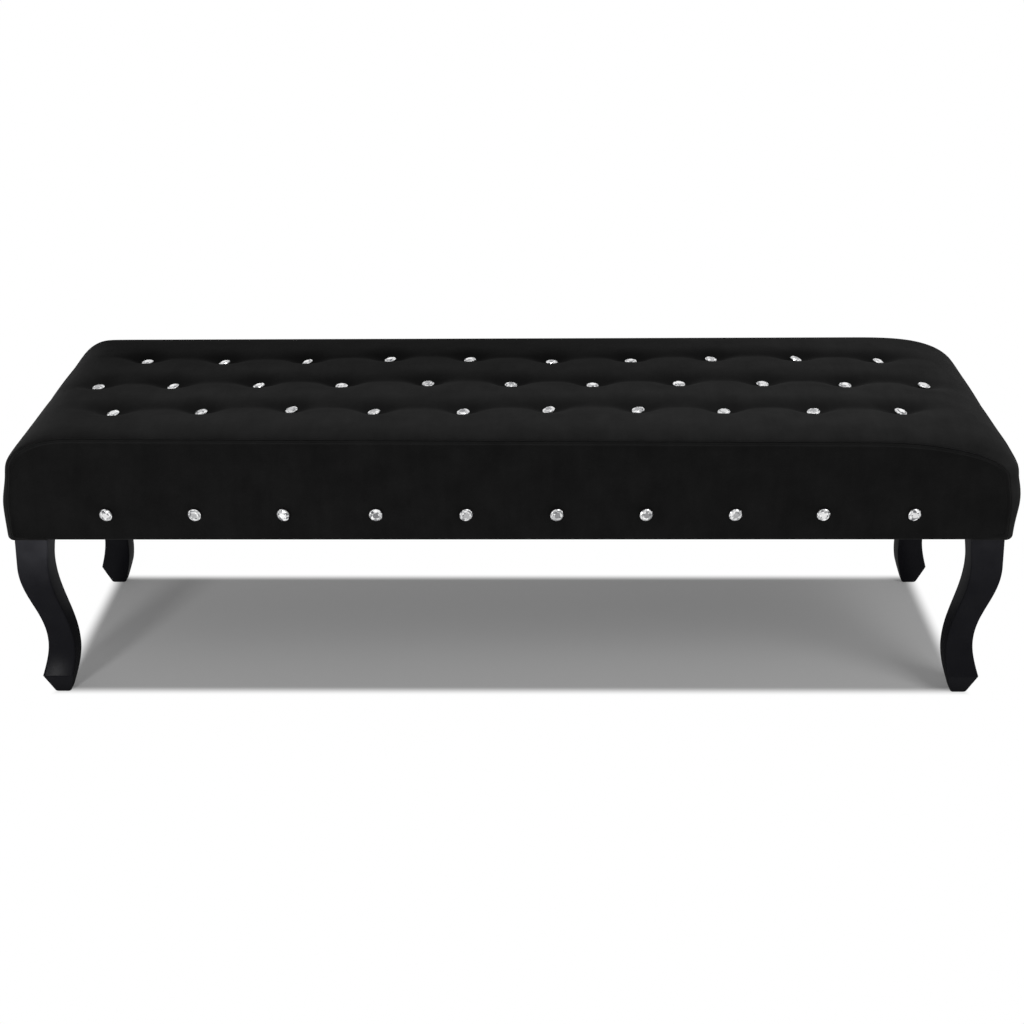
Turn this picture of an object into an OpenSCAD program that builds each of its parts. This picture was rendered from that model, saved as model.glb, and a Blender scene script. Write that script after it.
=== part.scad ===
// A long, low bench: a velvet seat with rows of crystal buttons on four curved wooden legs.
// The seat is a dowelled frame with corner posts and a plywood deck. On it lie a foam slab and a layer
// of wadding. The velvet over them is drawn down by buttons, whose twine passes through the deck.
// X runs along the bench, Y from its front to its back and Z up.
// The origin is on the floor, under the centre of the seat. All sizes are in millimetres.

/* [Seat] */
// Length of the seat over its rounded ends
seat_l = 1200; // [1000:10:1400]
// Depth of the seat from the front panel to the back panel
seat_d = 400; // [360:5:460]
// Height of the front panel from its lower edge to the top seam
side_h = 128; // [118:1:150]
// Height of the pillows above the top seam
crown_h = 7; // [5:1:12]
// Swell of each end beyond the seams
end_bulge = 8; // [4:1:12]
// How far the rounded top corner runs in from the left end
left_run = 60; // [40:5:100]
// How far the rounded top corner drops at the left end
left_drop = 40; // [34:1:60]
// How far the rounded top corner runs in from the right end
right_run = 120; // [40:5:140]
// How far the rounded top corner drops at the right end
right_drop = 48; // [34:1:60]

/* [Buttons] */
// Buttons in the front row, which the back row repeats and the middle row passes by one
row_count = 10; // [8:1:12]
// Distance from the seat's end to the first button of the front row
row_inset = 120; // [110:1:140]
// Distance from the seat's end to the first button of the middle row
middle_inset = 79; // [70:1:90]
// Distance between two rows of buttons
row_gap = 100; // [85:1:110]
// Depth of the crease that runs along each row of buttons, below the pillows beside it
crease_h = 6; // [4:1:8]
// Depth of the velvet below the top seam at a button
dimple = 8.5; // [6:0.5:9]
// Width of a crystal across its girdle
crystal_d = 16; // [12:1:20]
// Height of a crystal from its seat to its table
crystal_h = 3; // [2:0.5:5]
// Height of the crystals on the front panel above its lower edge
front_crystal_h = 34; // [26:1:50]
// Thickness of the twine that holds a button
twine_d = 1.6; // [1:0.2:2.4]
// Width of the washer that the twine is tied under
washer_d = 20; // [16:1:22]
// Length of a front crystal's nail behind the velvet
nail_l = 20; // [14:1:26]

/* [Upholstery] */
// Thickness of the velvet with its backing
velvet_t = 1.2; // [0.8:0.1:1.6]
// Thickness of the wadding over the foam at the height of the seam
wadding_t = 10; // [9:1:16]
// Thickness of the wadding at the ends of the frame, at the seams
end_wadding_t = 6; // [4:1:10]
// Thickness of the padding in front of and behind the frame
panel_pad_t = 6; // [4:1:10]
// Thickness of the foam slab
foam_t = 27; // [20:1:32]
// Width of the velvet's hem under the frame
hem_w = 40; // [32:1:46]
// Thickness of the dust cover
dust_t = 0.6; // [0.4:0.1:1]
// Spacing of the staples
staple_gap = 60; // [45:5:90]

/* [Frame] */
// Thickness of the rails
rail_t = 20; // [18:1:24]
// Width of the corner posts
post_w = 50; // [46:1:60]
// Thickness of the plywood deck
deck_t = 12; // [9:1:15]
// Diameter of the dowels
dowel_d = 8; // [6:1:10]
// Length of the dowels
dowel_l = 40; // [30:2:44]
// Shank diameter of the frame's screws
screw_d = 4.5; // [3.5:0.5:5]
// Length of the screws that hold the cross rails
rail_screw_l = 50; // [40:5:60]
// Length of the screws that hold the deck
deck_screw_l = 35; // [25:5:45]

/* [Legs] */
// Height of the legs, which is also the clear height under the seat
leg_h = 220; // [200:5:260]
// Inset of the leg's outer face at the top
leg_top_in = 6; // [4:0.5:9]
// Width of the leg at its top
leg_top_w = 40; // [36:1:46]
// Inset of the outer face at the knee
knee_in = 5; // [3:0.5:8]
// Distance of the knee below the leg's top
knee_drop = 40; // [30:1:50]
// Width of the leg at its knee
knee_w = 38; // [32:1:44]
// Inset of the outer face at the ankle
ankle_in = 26; // [20:1:32]
// Height of the ankle above the floor
ankle_z = 72; // [64:1:84]
// Inset of the inner face at the heel, where it lies furthest in
heel_in = 59; // [54:1:64]
// Height of the heel above the floor
heel_z = 58; // [50:1:62]
// Inset of the toe's tip
toe_in = 17; // [12:1:22]
// Height of the toe's tip above the floor
toe_z = 27; // [20:1:34]
// Inset of the sole's outer edge
sole_in = 28; // [24:1:32]
// Width of the sole
sole_w = 19; // [14:1:22]
// Inset of the leg's bolt from the end and from the front or back
bolt_in = 32; // [28:1:34]
// Diameter of the leg's bolt
bolt_d = 8; // [6:1:10]
// Length of the leg's bolt in the wood of the leg
bolt_in_leg = 28; // [20:1:36]
// Length of the insert nut in the corner post
insert_l = 20; // [14:1:26]

/* [Hidden] */

// Clearance between soft layers that lie on each other
fit = 0.3;
// Clearance round a pin or screw in a soft layer
hole_play = 0.3;
// Facets of a round piece
fn_round = 48;

// Heights of the layers
seam_z = leg_h + side_h;
frame_z = leg_h + velvet_t;
foam_top = seam_z - velvet_t - fit - wadding_t;
deck_top = foam_top - foam_t;
rail_top = deck_top - deck_t;
rail_h = rail_top - frame_z;

// Half sizes, from the centre of the seat
half_l = seat_l / 2;
half_d = seat_d / 2;
seam_x = half_l - end_bulge;
frame_x = seam_x - velvet_t - fit - end_wadding_t;
pad_y = half_d - velvet_t - fit;
frame_y = pad_y - panel_pad_t;
post_x = frame_x - post_w;
post_y = frame_y - post_w;

// Rows of buttons. Along a row, places are counted in pitches from the centre.
row_x = half_l - row_inset;
middle_x = half_l - middle_inset;
pitch = 2 * row_x / (row_count - 1);
row_end = (row_count - 1) / 2;
middle_end = row_count / 2;
side_places = [for (k = [0 : row_count - 1]) k - row_end];
middle_places = [for (k = [0 : row_count]) k - middle_end];
cross_x = (middle_end - 3.25) * pitch;

function limited(t) = max(0, min(1, t));
function eased(t) = let (c = limited(t)) c * c * (3 - 2 * c);
function mix(a, b, t) = a + (b - a) * t;

// The end buttons of the middle row stand closer than one pitch to the rows beside them
function place_x(q) = abs(q) <= row_end ? q * pitch
  : sign(q) * mix(row_x, middle_x, (abs(q) - row_end) / (middle_end - row_end));

// Distance from a point of the seat to the nearest button
function to_middle_row(x, q, y) = let (
    near = max(-middle_end, min(middle_end, round(q - middle_end) + middle_end))
  ) norm([x - place_x(near), y]);
function to_side_row(x, q, y) = let (
    near = max(-row_end, min(row_end, round(q - row_end) + row_end))
  ) norm([x - place_x(near), abs(y) - row_gap]);
function to_button(x, q, y) = min(to_middle_row(x, q, y), to_side_row(x, q, y));

// Height of a pillow across the seat, from 0 at the creases along the rows to 1 at its middle
crease_softness = 0.65;
edge_band = half_d - row_gap;
function arched(y) = let (far = abs(y)) pow(
    far > row_gap ? sin(90 * limited(2 * (far - row_gap) / edge_band)) : sin(180 * far / row_gap),
    crease_softness
  );
// A crease is deepest at its buttons, shallower between them, and fades out past the last one
between_share = 0.6;
crease_fade = 90;
function crease_depth(x, q, y) = let (
    is_side = abs(y) > row_gap / 2,
    wave = cos(180 * (q - (is_side ? row_end : middle_end))),
    past_end = eased((abs(x) - (is_side ? row_x : middle_x)) / crease_fade)
  ) crease_h * mix(between_share, 1, wave * wave) * (1 - past_end);

// Swell across the depth, from 0 at the front and back seams to 1 over most of the seat
function across(y, power) = sqrt(1 - pow(limited(abs(y) / half_d), power));

// Height of the velvet over the seam's level, with the dimples at the buttons
dimple_reach = 22;
function pillow_h(x, q, y) = let (
    dip = exp(-pow(to_button(x, q, y) / dimple_reach, 2)) * (crown_h + dimple - crease_h)
  ) across(y, 6) * (crown_h - crease_depth(x, q, y) * (1 - arched(y)) - dip);

// The seat's outline, seen from the front, is a list of lines that run from front to back.
// Each holds [x, z], the direction of its swell, the direction of its thickness, its swell at the
// middle, and its place along the rows of buttons, which is 0 where no button draws it down.
line_at = 0;
line_out = 1;
line_thick = 2;
line_swell = 3;
line_place = 4;

function run_of(s) = s < 0 ? left_run : right_run;
function drop_of(s) = s < 0 ? left_drop : right_drop;
// Cosine of the slope's angle on the rounded corner, at a distance from the centre
function corner_cos(s, x) = limited((abs(x) - seam_x + run_of(s)) / run_of(s));
function corner_line(s, c, x, q) = let (h = sqrt(1 - c * c))
  [[x, seam_z - drop_of(s) * (1 - h)], [s * c, h], [s * c, h], mix(end_bulge, crown_h, h * h), q];
function place_line(q) = let (s = q < 0 ? -1 : 1, x = place_x(q)) corner_line(s, corner_cos(s, x), x, q);

corner_steps = 4;
function corner_lines(s) = [
  for (k = [corner_steps - 1 : -1 : 0])
    let (c = cos(acos(corner_cos(s, middle_x)) * k / corner_steps))
      corner_line(s, c, s * (seam_x - run_of(s) * (1 - c)), s * middle_end)
];
// Share of the end's full swell at its lower edge and halfway up
edge_swell = 0.55;
middle_swell = 0.97;
function end_lines(s) = let (top = seam_z - drop_of(s)) [
  [[s * seam_x, mix(leg_h, top, 0.5)], [s, 0], [s, 0], end_bulge * middle_swell, 0],
  [[s * seam_x, leg_h], [s, 0], [s, -1], end_bulge * edge_swell, 0]
];
function hem_line(s) = [[s * (seam_x - hem_w), leg_h], [0, 0], [0, -1], 0, 0];
function turned(list) = [for (k = [len(list) - 1 : -1 : 0]) list[k]];

top_lines = [for (k = [0 : 4 * row_count]) place_line(k / 4 - middle_end)];
wrap_lines = concat(turned(end_lines(-1)), turned(corner_lines(-1)), top_lines, corner_lines(1), end_lines(1));
cover_lines = concat([hem_line(-1)], wrap_lines, [hem_line(1)]);

// Depths at which the seat's surface is worked out, close together at the seams
half_depths = [0, row_gap / 2, row_gap, row_gap + 0.45 * edge_band, row_gap + 0.85 * edge_band, half_d];
depths = concat([for (y = turned(half_depths)) -y], [for (k = [1 : len(half_depths) - 1]) half_depths[k]]);

function is_top(line) = line[line_place] != 0 || line[line_at][1] >= seam_z - 0.01;
function swell(line, y) = is_top(line)
  ? let (shared = limited(line[line_out][1] * line[line_out][1]))
    mix(across(y, 8) * line[line_swell], pillow_h(line[line_at][0], line[line_place], y), shared)
  : across(y, 8) * line[line_swell];
// A point of the velvet, or of what lies the given depth under it
function cover_point(line, y, depth) = let (
    rise = swell(line, y),
    x = line[line_at][0] + rise * line[line_out][0] - depth * line[line_thick][0],
    z = line[line_at][1] + rise * line[line_out][1] - depth * line[line_thick][1]
  ) [x, y, z];
// The same point on a layer that ends before the seam, on the straight line between two depths
function layer_point(line, k, depth) = let (
    last = len(depths) - 1,
    inner = k == 0 ? 1 : k == last ? last - 1 : k,
    here = cover_point(line, depths[k], depth),
    next = cover_point(line, depths[inner], depth)
  ) inner == k ? here : mix(here, next, (half_d - pad_y) / abs(depths[inner] - depths[k]));

// The two triangles of a patch, folded along its lower diagonal
function patch(lines, i, j, a, b, c, d) = let (
    along = swell(lines[i], depths[j]) + swell(lines[i + 1], depths[j + 1]),
    against = swell(lines[i + 1], depths[j]) + swell(lines[i], depths[j + 1])
  ) along < against ? [[a, b, c], [a, c, d]] : [[a, b, d], [b, c, d]];
function flipped(faces) = [for (f = faces) turned(f)];

// The foam's outline lies inside the wadding, with its own rounded corners
foam_corner = 0.6;
function foam_run(s) = foam_corner * run_of(s);
function foam_cos(s, x) = limited((abs(x) - frame_x + foam_run(s)) / foam_run(s));
function foam_point(s, c, x) = [x, deck_top + foam_t * sqrt(1 - c * c)];
function foam_corner_points(s) = [
  for (k = [corner_steps - 1 : -1 : 0])
    let (c = cos(acos(foam_cos(s, middle_x)) * k / corner_steps))
      foam_point(s, c, s * (frame_x - foam_run(s) * (1 - c)))
];
function frame_side_points(s) = [for (k = [0.5, 0]) [s * frame_x, mix(frame_z, deck_top, k)]];
foam_top_points = [
  for (line = top_lines)
    let (x = line[line_at][0], s = x < 0 ? -1 : 1) foam_point(s, foam_cos(s, x), x)
];
wrap_inside = concat(
  turned(frame_side_points(-1)), turned(foam_corner_points(-1)), foam_top_points,
  foam_corner_points(1), frame_side_points(1)
);

// Where the buttons stand, on the velvet
function button_spot(q, y) = cover_point(place_line(q), y, 0);
button_spots = concat(
  [for (q = side_places) button_spot(q, -row_gap)],
  [for (q = middle_places) button_spot(q, 0)],
  [for (q = side_places) button_spot(q, row_gap)]
);
front_spots = [for (q = side_places) [place_x(q), -half_d, leg_h + front_crystal_h]];
leg_corners = [[-1, -1], [1, -1], [-1, 1], [1, 1]];

// The button's back is a cone that stays clear of the velvet round it
back_r = 0.42 * crystal_d;
shank_r = 1.2;
near_place = middle_end - floor(middle_end);
quarter = place_x(near_place + 0.25) - place_x(near_place);
slope_along = (pillow_h(place_x(near_place + 0.25), near_place + 0.25, 0) + dimple) / quarter;
slope_across = (pillow_h(place_x(near_place + 0.5), near_place + 0.5, half_depths[3]) + dimple)
  / (half_depths[3] - row_gap);
back_lift = 0.6;
back_h = back_lift + 1.25 * max(slope_along, slope_across) * back_r;
rim_h = 0.6;
shank_l = velvet_t + 1;

module at_each(spots) {
  for (p = spots)
    translate(p)
      children();
}

module frame_board(x0, x1, y0, y1, z0, z1) {
  translate([x0, y0, z0])
    cube([x1 - x0, y1 - y0, z1 - z0]);
}

// A pin along X, Y or Z from its middle, as long and as wide as given
module pin_x(d, l) {
  rotate([0, 90, 0])
    cylinder(h = l, d = d, center = true, $fn = fn_round);
}
module pin_y(d, l) {
  rotate([90, 0, 0])
    cylinder(h = l, d = d, center = true, $fn = fn_round);
}

// Joints of the frame, the lower dowels above the insert nuts
dowel_z = [frame_z + insert_l + dowel_d, frame_z + rail_h * 0.75];
dowel_x = frame_x - rail_t / 2;
dowel_y = frame_y - rail_t / 2;
module long_rail_dowels(s) {
  for (side = [-1, 1])
    for (z = dowel_z)
      translate([side * post_x, s * dowel_y, z])
        pin_x(dowel_d, dowel_l);
}
module end_rail_dowels(s) {
  for (side = [-1, 1])
    for (z = dowel_z)
      translate([s * dowel_x, side * post_y, z])
        pin_y(dowel_d, dowel_l);
}

// A countersunk screw, its head's top at the origin and its point down
module screw(l) {
  head_h = screw_d * 0.55;
  rotate_extrude($fn = fn_round)
    polygon([[0, 0], [screw_d, 0], [screw_d / 2, -head_h], [screw_d / 2, screw_d - l], [0, -l]]);
}
module screws_through_rail(s) {
  for (side = [-1, 1])
    for (z = dowel_z)
      translate([side * cross_x, s * frame_y, z])
        rotate([-s * 90, 0, 0])
          screw(rail_screw_l);
}
deck_screw_xs = [for (k = [-1 : 0.4 : 1]) k * (post_x - dowel_l)];
module deck_screw_set() {
  for (x = deck_screw_xs)
    for (s = [-1, 1])
      translate([x, s * dowel_y, deck_top])
        screw(deck_screw_l);
  for (s = [-1, 1])
    for (y = [-post_y / 2, post_y / 2])
      translate([s * dowel_x, y, deck_top])
        screw(deck_screw_l);
}

// Staples under the frame, their crowns along the edge and their legs in the wood
staple_w = 10;
wire_t = 0.7;
staple_leg = 7;
module staple() {
  translate([-staple_w / 2, -wire_t / 2, -wire_t])
    cube([staple_w, wire_t, wire_t]);
  for (s = [-1, 1])
    translate([s * (staple_w - wire_t) / 2 - wire_t / 2, -wire_t / 2, -wire_t])
      cube([wire_t, wire_t, wire_t + staple_leg]);
}
function row_spots(half) = let (n = floor(half / staple_gap)) [for (k = [-n : n]) k * staple_gap];
long_staples = row_spots(post_x - staple_w);
end_staples = row_spots(post_y - staple_w);
module staple_rows(inset, z, long_side, end_side) {
  if (long_side)
    for (s = [-1, 1])
      for (x = long_staples)
        translate([x, s * (half_d - inset), z])
          staple();
  if (end_side)
    for (s = [-1, 1])
      for (y = end_staples)
        translate([s * (seam_x - inset), y, z])
          rotate([0, 0, 90])
            staple();
}
hem_staple_in = 14;
dust_staple_in = 21;
dust_top = leg_h - wire_t - 0.1;
module all_staples(long_side, end_side) {
  staple_rows(hem_staple_in, leg_h, long_side, end_side);
  staple_rows(dust_staple_in, dust_top - dust_t, long_side, end_side);
}

module long_rail(s) {
  color("burlywood")
    difference() {
      frame_board(-post_x, post_x, min(s * frame_y, s * (frame_y - rail_t)),
        max(s * frame_y, s * (frame_y - rail_t)), frame_z, rail_top);
      long_rail_dowels(s);
      screws_through_rail(s);
      deck_screw_set();
      all_staples(true, false);
      if (s < 0)
        front_nail_holes(0);
    }
}
module end_rail(s) {
  color("burlywood")
    difference() {
      frame_board(min(s * frame_x, s * (frame_x - rail_t)), max(s * frame_x, s * (frame_x - rail_t)),
        -post_y, post_y, frame_z, rail_top);
      end_rail_dowels(s);
      deck_screw_set();
      all_staples(false, true);
    }
}
module cross_rail(s) {
  color("burlywood")
    difference() {
      frame_board(s * cross_x - rail_t / 2, s * cross_x + rail_t / 2, rail_t - frame_y, frame_y - rail_t,
        frame_z, rail_top);
      screws_through_rail(-1);
      screws_through_rail(1);
    }
}

module leg_bolt(corner) {
  translate([corner[0] * (half_l - bolt_in), corner[1] * (half_d - bolt_in), leg_h - bolt_in_leg])
    cylinder(h = bolt_in_leg + velvet_t + insert_l, d = bolt_d, $fn = fn_round);
}
insert_d = bolt_d + 4;
module insert_nut(corner) {
  translate([corner[0] * (half_l - bolt_in), corner[1] * (half_d - bolt_in), frame_z])
    cylinder(h = insert_l, d = insert_d, $fn = fn_round);
}
module post(corner) {
  cx = corner[0] * (frame_x - post_w / 2);
  cy = corner[1] * (frame_y - post_w / 2);
  color("tan")
    difference() {
      frame_board(cx - post_w / 2, cx + post_w / 2, cy - post_w / 2, cy + post_w / 2, frame_z, rail_top);
      long_rail_dowels(corner[1]);
      end_rail_dowels(corner[0]);
      insert_nut(corner);
    }
}

module frame_dowels() {
  color("wheat")
    for (s = [-1, 1]) {
      long_rail_dowels(s);
      end_rail_dowels(s);
    }
}
module cross_rail_screws() {
  color("silver")
    for (s = [-1, 1])
      screws_through_rail(s);
}
module deck_screws() {
  color("silver")
    deck_screw_set();
}

twine_hole = twine_d + 2 * hole_play;
module twine_holes(z0, z1, d) {
  for (p = button_spots)
    translate([p[0], p[1], z0])
      cylinder(h = z1 - z0, d = d, $fn = fn_round);
}
module deck_board() {
  color("peru")
    difference() {
      frame_board(-frame_x, frame_x, -frame_y, frame_y, rail_top, deck_top);
      twine_holes(rail_top - 1, deck_top + 1, twine_hole);
      deck_screw_set();
    }
}
module seat_foam() {
  rounded = [for (k = [3 : len(wrap_inside) - 4]) wrap_inside[k] - [0, fit]];
  slab = concat([[-frame_x, deck_top], [frame_x, deck_top]], turned(rounded));
  color("khaki")
    difference() {
      translate([0, frame_y, 0])
        rotate([90, 0, 0])
          linear_extrude(height = 2 * frame_y)
            polygon(slab);
      twine_holes(deck_top - 1, foam_top + 1, twine_hole);
    }
}

// The wadding's upper side follows the velvet, and its lower side follows the foam and the frame's ends
module seat_wadding() {
  n = len(wrap_lines);
  m = len(depths);
  upper = [for (line = wrap_lines) for (k = [0 : m - 1]) layer_point(line, k, velvet_t + fit)];
  lower = [for (p = wrap_inside) for (y = [-pad_y, pad_y]) [p[0], y, p[1]]];
  base = n * m;
  upper_faces = [
    for (i = [0 : n - 2]) for (j = [0 : m - 2])
      each patch(wrap_lines, i, j, i * m + j, i * m + j + 1, (i + 1) * m + j + 1, (i + 1) * m + j)
  ];
  lower_faces = [
    for (i = [0 : n - 2]) let (a = base + 2 * i)
      each [[a, a + 2, a + 3], [a, a + 3, a + 1]]
  ];
  panel_faces = [
    for (i = [0 : n - 2]) let (a = base + 2 * i, b = i * m, c = i * m + m - 1)
      each [[b, b + m, a + 2], [b, a + 2, a], [c, a + 1, a + 3], [c, a + 3, c + m]]
  ];
  mid = floor(m / 2);
  function end_faces(b, a) = concat(
    [for (j = [0 : m - 2]) [j < mid ? a : a + 1, b + j + 1, b + j]],
    [[a, a + 1, b + mid]]
  );
  left_faces = end_faces(0, base);
  right_faces = flipped(end_faces((n - 1) * m, base + 2 * (n - 1)));
  color("white")
    difference() {
      polyhedron(points = concat(upper, lower),
        faces = concat(upper_faces, lower_faces, panel_faces, left_faces, right_faces));
      twine_holes(foam_top - 5, seam_z, 2 * shank_r + 2 * hole_play);
    }
}

module panel_padding(s) {
  outline = [for (p = wrap_inside) p - [sign(p[0]) * fit, p[1] > frame_z ? fit : 0]];
  color("whitesmoke")
    difference() {
      translate([0, s > 0 ? pad_y : -frame_y, 0])
        rotate([90, 0, 0])
          linear_extrude(height = panel_pad_t)
            polygon(outline);
      if (s < 0)
        front_nail_holes(hole_play);
    }
}

// The velvet over the seat and its two ends is one sheet, sewn to the front and back panels
module top_cover() {
  n = len(cover_lines);
  m = len(depths);
  outside = [for (line = cover_lines) for (y = depths) cover_point(line, y, 0)];
  inside = [for (line = cover_lines) for (y = depths) cover_point(line, y, velvet_t)];
  base = n * m;
  function skin(b) = [
    for (i = [0 : n - 2]) for (j = [0 : m - 2]) let (a = b + i * m + j)
      each patch(cover_lines, i, j, a, a + 1, a + m + 1, a + m)
  ];
  seam_faces = [
    for (i = [0 : n - 2]) let (a = i * m, b = a + m - 1)
      each [[a, a + m, base + a + m], [a, base + a + m, base + a], [b, base + b, base + b + m],
        [b, base + b + m, b + m]]
  ];
  last = (n - 1) * m;
  edge_faces = [
    for (j = [0 : m - 2]) let (a = j, b = last + j)
      each [[a, base + a, base + a + 1], [a, base + a + 1, a + 1], [b, b + 1, base + b + 1],
        [b, base + b + 1, base + b]]
  ];
  color([0.1, 0.1, 0.11])
    difference() {
      polyhedron(points = concat(outside, inside),
        faces = concat(skin(0), flipped(skin(base)), seam_faces, edge_faces));
      twine_holes(foam_top, seam_z, 2 * shank_r + 2 * hole_play);
      for (corner = leg_corners)
        leg_bolt(corner);
      all_staples(false, true);
    }
}

// The front and back panels of velvet end at the cover's edge, and each has a hem under the frame
module panel(s) {
  inset = velvet_t + fit;
  low = leg_h + velvet_t + fit;
  outline = [
    for (line = wrap_lines) let (p = line[line_at] - inset * line[line_thick]) [p[0], max(p[1], low)]
  ];
  hem_x = seam_x - hem_w - fit;
  color([0.13, 0.13, 0.14])
    difference() {
      union() {
        translate([0, s > 0 ? half_d : velvet_t - half_d, 0])
          rotate([90, 0, 0])
            linear_extrude(height = velvet_t)
              polygon(outline);
        frame_board(-hem_x, hem_x, s > 0 ? half_d - velvet_t : -half_d,
          s > 0 ? half_d : velvet_t - half_d, leg_h, low + 1);
        frame_board(-hem_x, hem_x, s > 0 ? half_d - hem_w : -half_d,
          s > 0 ? half_d : hem_w - half_d, leg_h, leg_h + velvet_t);
      }
      if (s < 0)
        front_nail_holes(hole_play);
      all_staples(true, false);
    }
}

module hem_staples() {
  color("gainsboro")
    staple_rows(hem_staple_in, leg_h, true, true);
}
leg_gap = 3;
module dust_cover() {
  dust_x = seam_x - 12;
  dust_y = half_d - 12;
  leg_x = half_l - leg_top_in - leg_top_w - leg_gap;
  leg_y = half_d - leg_top_in - leg_top_w - leg_gap;
  color([0.2, 0.2, 0.2])
    difference() {
      frame_board(-dust_x, dust_x, -dust_y, dust_y, dust_top - dust_t, dust_top);
      for (corner = leg_corners)
        scale([corner[0], corner[1], 1])
          frame_board(leg_x, half_l, leg_y, half_d, dust_top - 5, dust_top + 5);
      staple_rows(dust_staple_in, dust_top - dust_t, true, true);
    }
}
module dust_cover_staples() {
  color("gainsboro")
    staple_rows(dust_staple_in, dust_top - dust_t, true, true);
}

// A cut crystal with eight main facets, standing on its seat
module crystal() {
  r = crystal_d / 2;
  girdle = 0.25 * crystal_h;
  rotate_extrude($fn = 8)
    polygon([[0, 0], [0.85 * r, 0], [r, girdle], [r, 1.6 * girdle], [0.55 * r, crystal_h], [0, crystal_h]]);
}
seat_h = back_h + rim_h;
module top_crystals() {
  color([0.9, 0.93, 0.96])
    at_each(button_spots)
      translate([0, 0, seat_h])
        crystal();
}
module top_button_backs() {
  color("silver")
    at_each(button_spots)
      rotate_extrude($fn = fn_round)
        polygon([[0, -shank_l], [shank_r, -shank_l], [shank_r, back_lift], [back_r, back_h],
          [back_r, seat_h], [0, seat_h]]);
}
washer_t = 1.5;
knot_r = 1.8;
module button_twines() {
  color("ivory")
    for (p = button_spots)
      translate([p[0], p[1], 0])
        union() {
          translate([0, 0, rail_top - washer_t - knot_r])
            cylinder(h = p[2] - shank_l - rail_top + washer_t + knot_r, d = twine_d, $fn = fn_round);
          translate([0, 0, rail_top - washer_t - knot_r])
            sphere(r = knot_r, $fn = fn_round);
        }
}
module twine_washers() {
  color("silver")
    for (p = button_spots)
      translate([p[0], p[1], rail_top - washer_t])
        difference() {
          cylinder(h = washer_t, d = washer_d, $fn = fn_round);
          translate([0, 0, -1])
            cylinder(h = washer_t + 2, d = twine_hole, $fn = fn_round);
        }
}

nail_d = 2;
nail_cup_h = 1.6;
module front_nail_holes(play) {
  at_each(front_spots)
    rotate([-90, 0, 0])
      translate([0, 0, -1])
        cylinder(h = nail_l + 1, d = nail_d + 2 * play, $fn = fn_round);
}
module front_crystals() {
  color([0.9, 0.93, 0.96])
    at_each(front_spots)
      translate([0, -nail_cup_h, 0])
        rotate([90, 0, 0])
          crystal();
}
module front_crystal_nails() {
  color("silver")
    at_each(front_spots)
      rotate([90, 0, 0])
        rotate_extrude($fn = fn_round)
          polygon([[0, -nail_l], [nail_d / 2, -nail_l], [nail_d / 2, 0], [back_r, 0],
            [back_r, nail_cup_h], [0, nail_cup_h]]);
}

// The leg's outline, seen from the front or the side: inset from the seat's edge against height
curve_steps = 10;
function half_wave(from, to, t) = mix(from, to, (1 - cos(180 * t)) / 2);
function quarter_wave(from, to, t) = mix(from, to, 1 - cos(90 * t));
knee_z = leg_h - knee_drop;
steps = [for (k = [1 : curve_steps]) k / curve_steps];
outer_side = concat(
  [[sole_in, 0], [toe_in, toe_z]],
  [for (t = turned([for (k = [0 : curve_steps - 1]) k / curve_steps]))
    [quarter_wave(ankle_in, toe_in, t), mix(ankle_z, toe_z, t)]],
  [for (t = steps) [half_wave(ankle_in, knee_in, t), mix(ankle_z, knee_z, t)]],
  [[leg_top_in, leg_h]]
);
inner_side = concat(
  [[leg_top_in + leg_top_w, leg_h]],
  [for (t = steps) [half_wave(leg_top_in + leg_top_w, knee_in + knee_w, t), mix(leg_h, knee_z, t)]],
  [for (t = steps) [half_wave(knee_in + knee_w, heel_in, t), mix(knee_z, heel_z, t)]],
  [for (t = steps) [quarter_wave(heel_in, sole_in + sole_w, t), mix(heel_z, 0, t)]]
);
leg_outline = concat(outer_side, inner_side);
leg_reach = heel_in + 10;
module leg(corner) {
  // Sawn to the same curve from the front and from the side
  color([0.13, 0.13, 0.14])
    difference() {
      intersection() {
        translate([0, corner[1] * (half_d - leg_reach / 2) + leg_reach / 2, 0])
          rotate([90, 0, 0])
            linear_extrude(height = leg_reach)
              polygon([for (p = leg_outline) [corner[0] * (half_l - p[0]), p[1]]]);
        translate([corner[0] * (half_l - leg_reach / 2) - leg_reach / 2, 0, 0])
          rotate([90, 0, 90])
            linear_extrude(height = leg_reach)
              polygon([for (p = leg_outline) [corner[1] * (half_d - p[0]), p[1]]]);
      }
      leg_bolt(corner);
    }
}
module leg_bolts() {
  color("silver")
    for (corner = leg_corners)
      leg_bolt(corner);
}
module leg_insert_nuts() {
  color("goldenrod")
    for (corner = leg_corners)
      difference() {
        insert_nut(corner);
        leg_bolt(corner);
      }
}

long_rail(-1);  // front_rail
long_rail(1);  // back_rail
end_rail(-1);  // left_end_rail
end_rail(1);  // right_end_rail
cross_rail(-1);  // left_cross_rail
cross_rail(1);  // right_cross_rail
post([-1, -1]);  // front_left_post
post([1, -1]);  // front_right_post
post([-1, 1]);  // rear_left_post
post([1, 1]);  // rear_right_post
frame_dowels();
cross_rail_screws();
deck_board();
deck_screws();
seat_foam();
seat_wadding();
panel_padding(-1);  // front_padding
panel_padding(1);  // back_padding
top_cover();
panel(-1);  // front_panel
panel(1);  // back_panel
hem_staples();
dust_cover();
dust_cover_staples();
top_crystals();
top_button_backs();
button_twines();
twine_washers();
front_crystals();
front_crystal_nails();
leg([-1, -1]);  // front_left_leg
leg([1, -1]);  // front_right_leg
leg([-1, 1]);  // rear_left_leg
leg([1, 1]);  // rear_right_leg
leg_bolts();
leg_insert_nuts();
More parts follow.
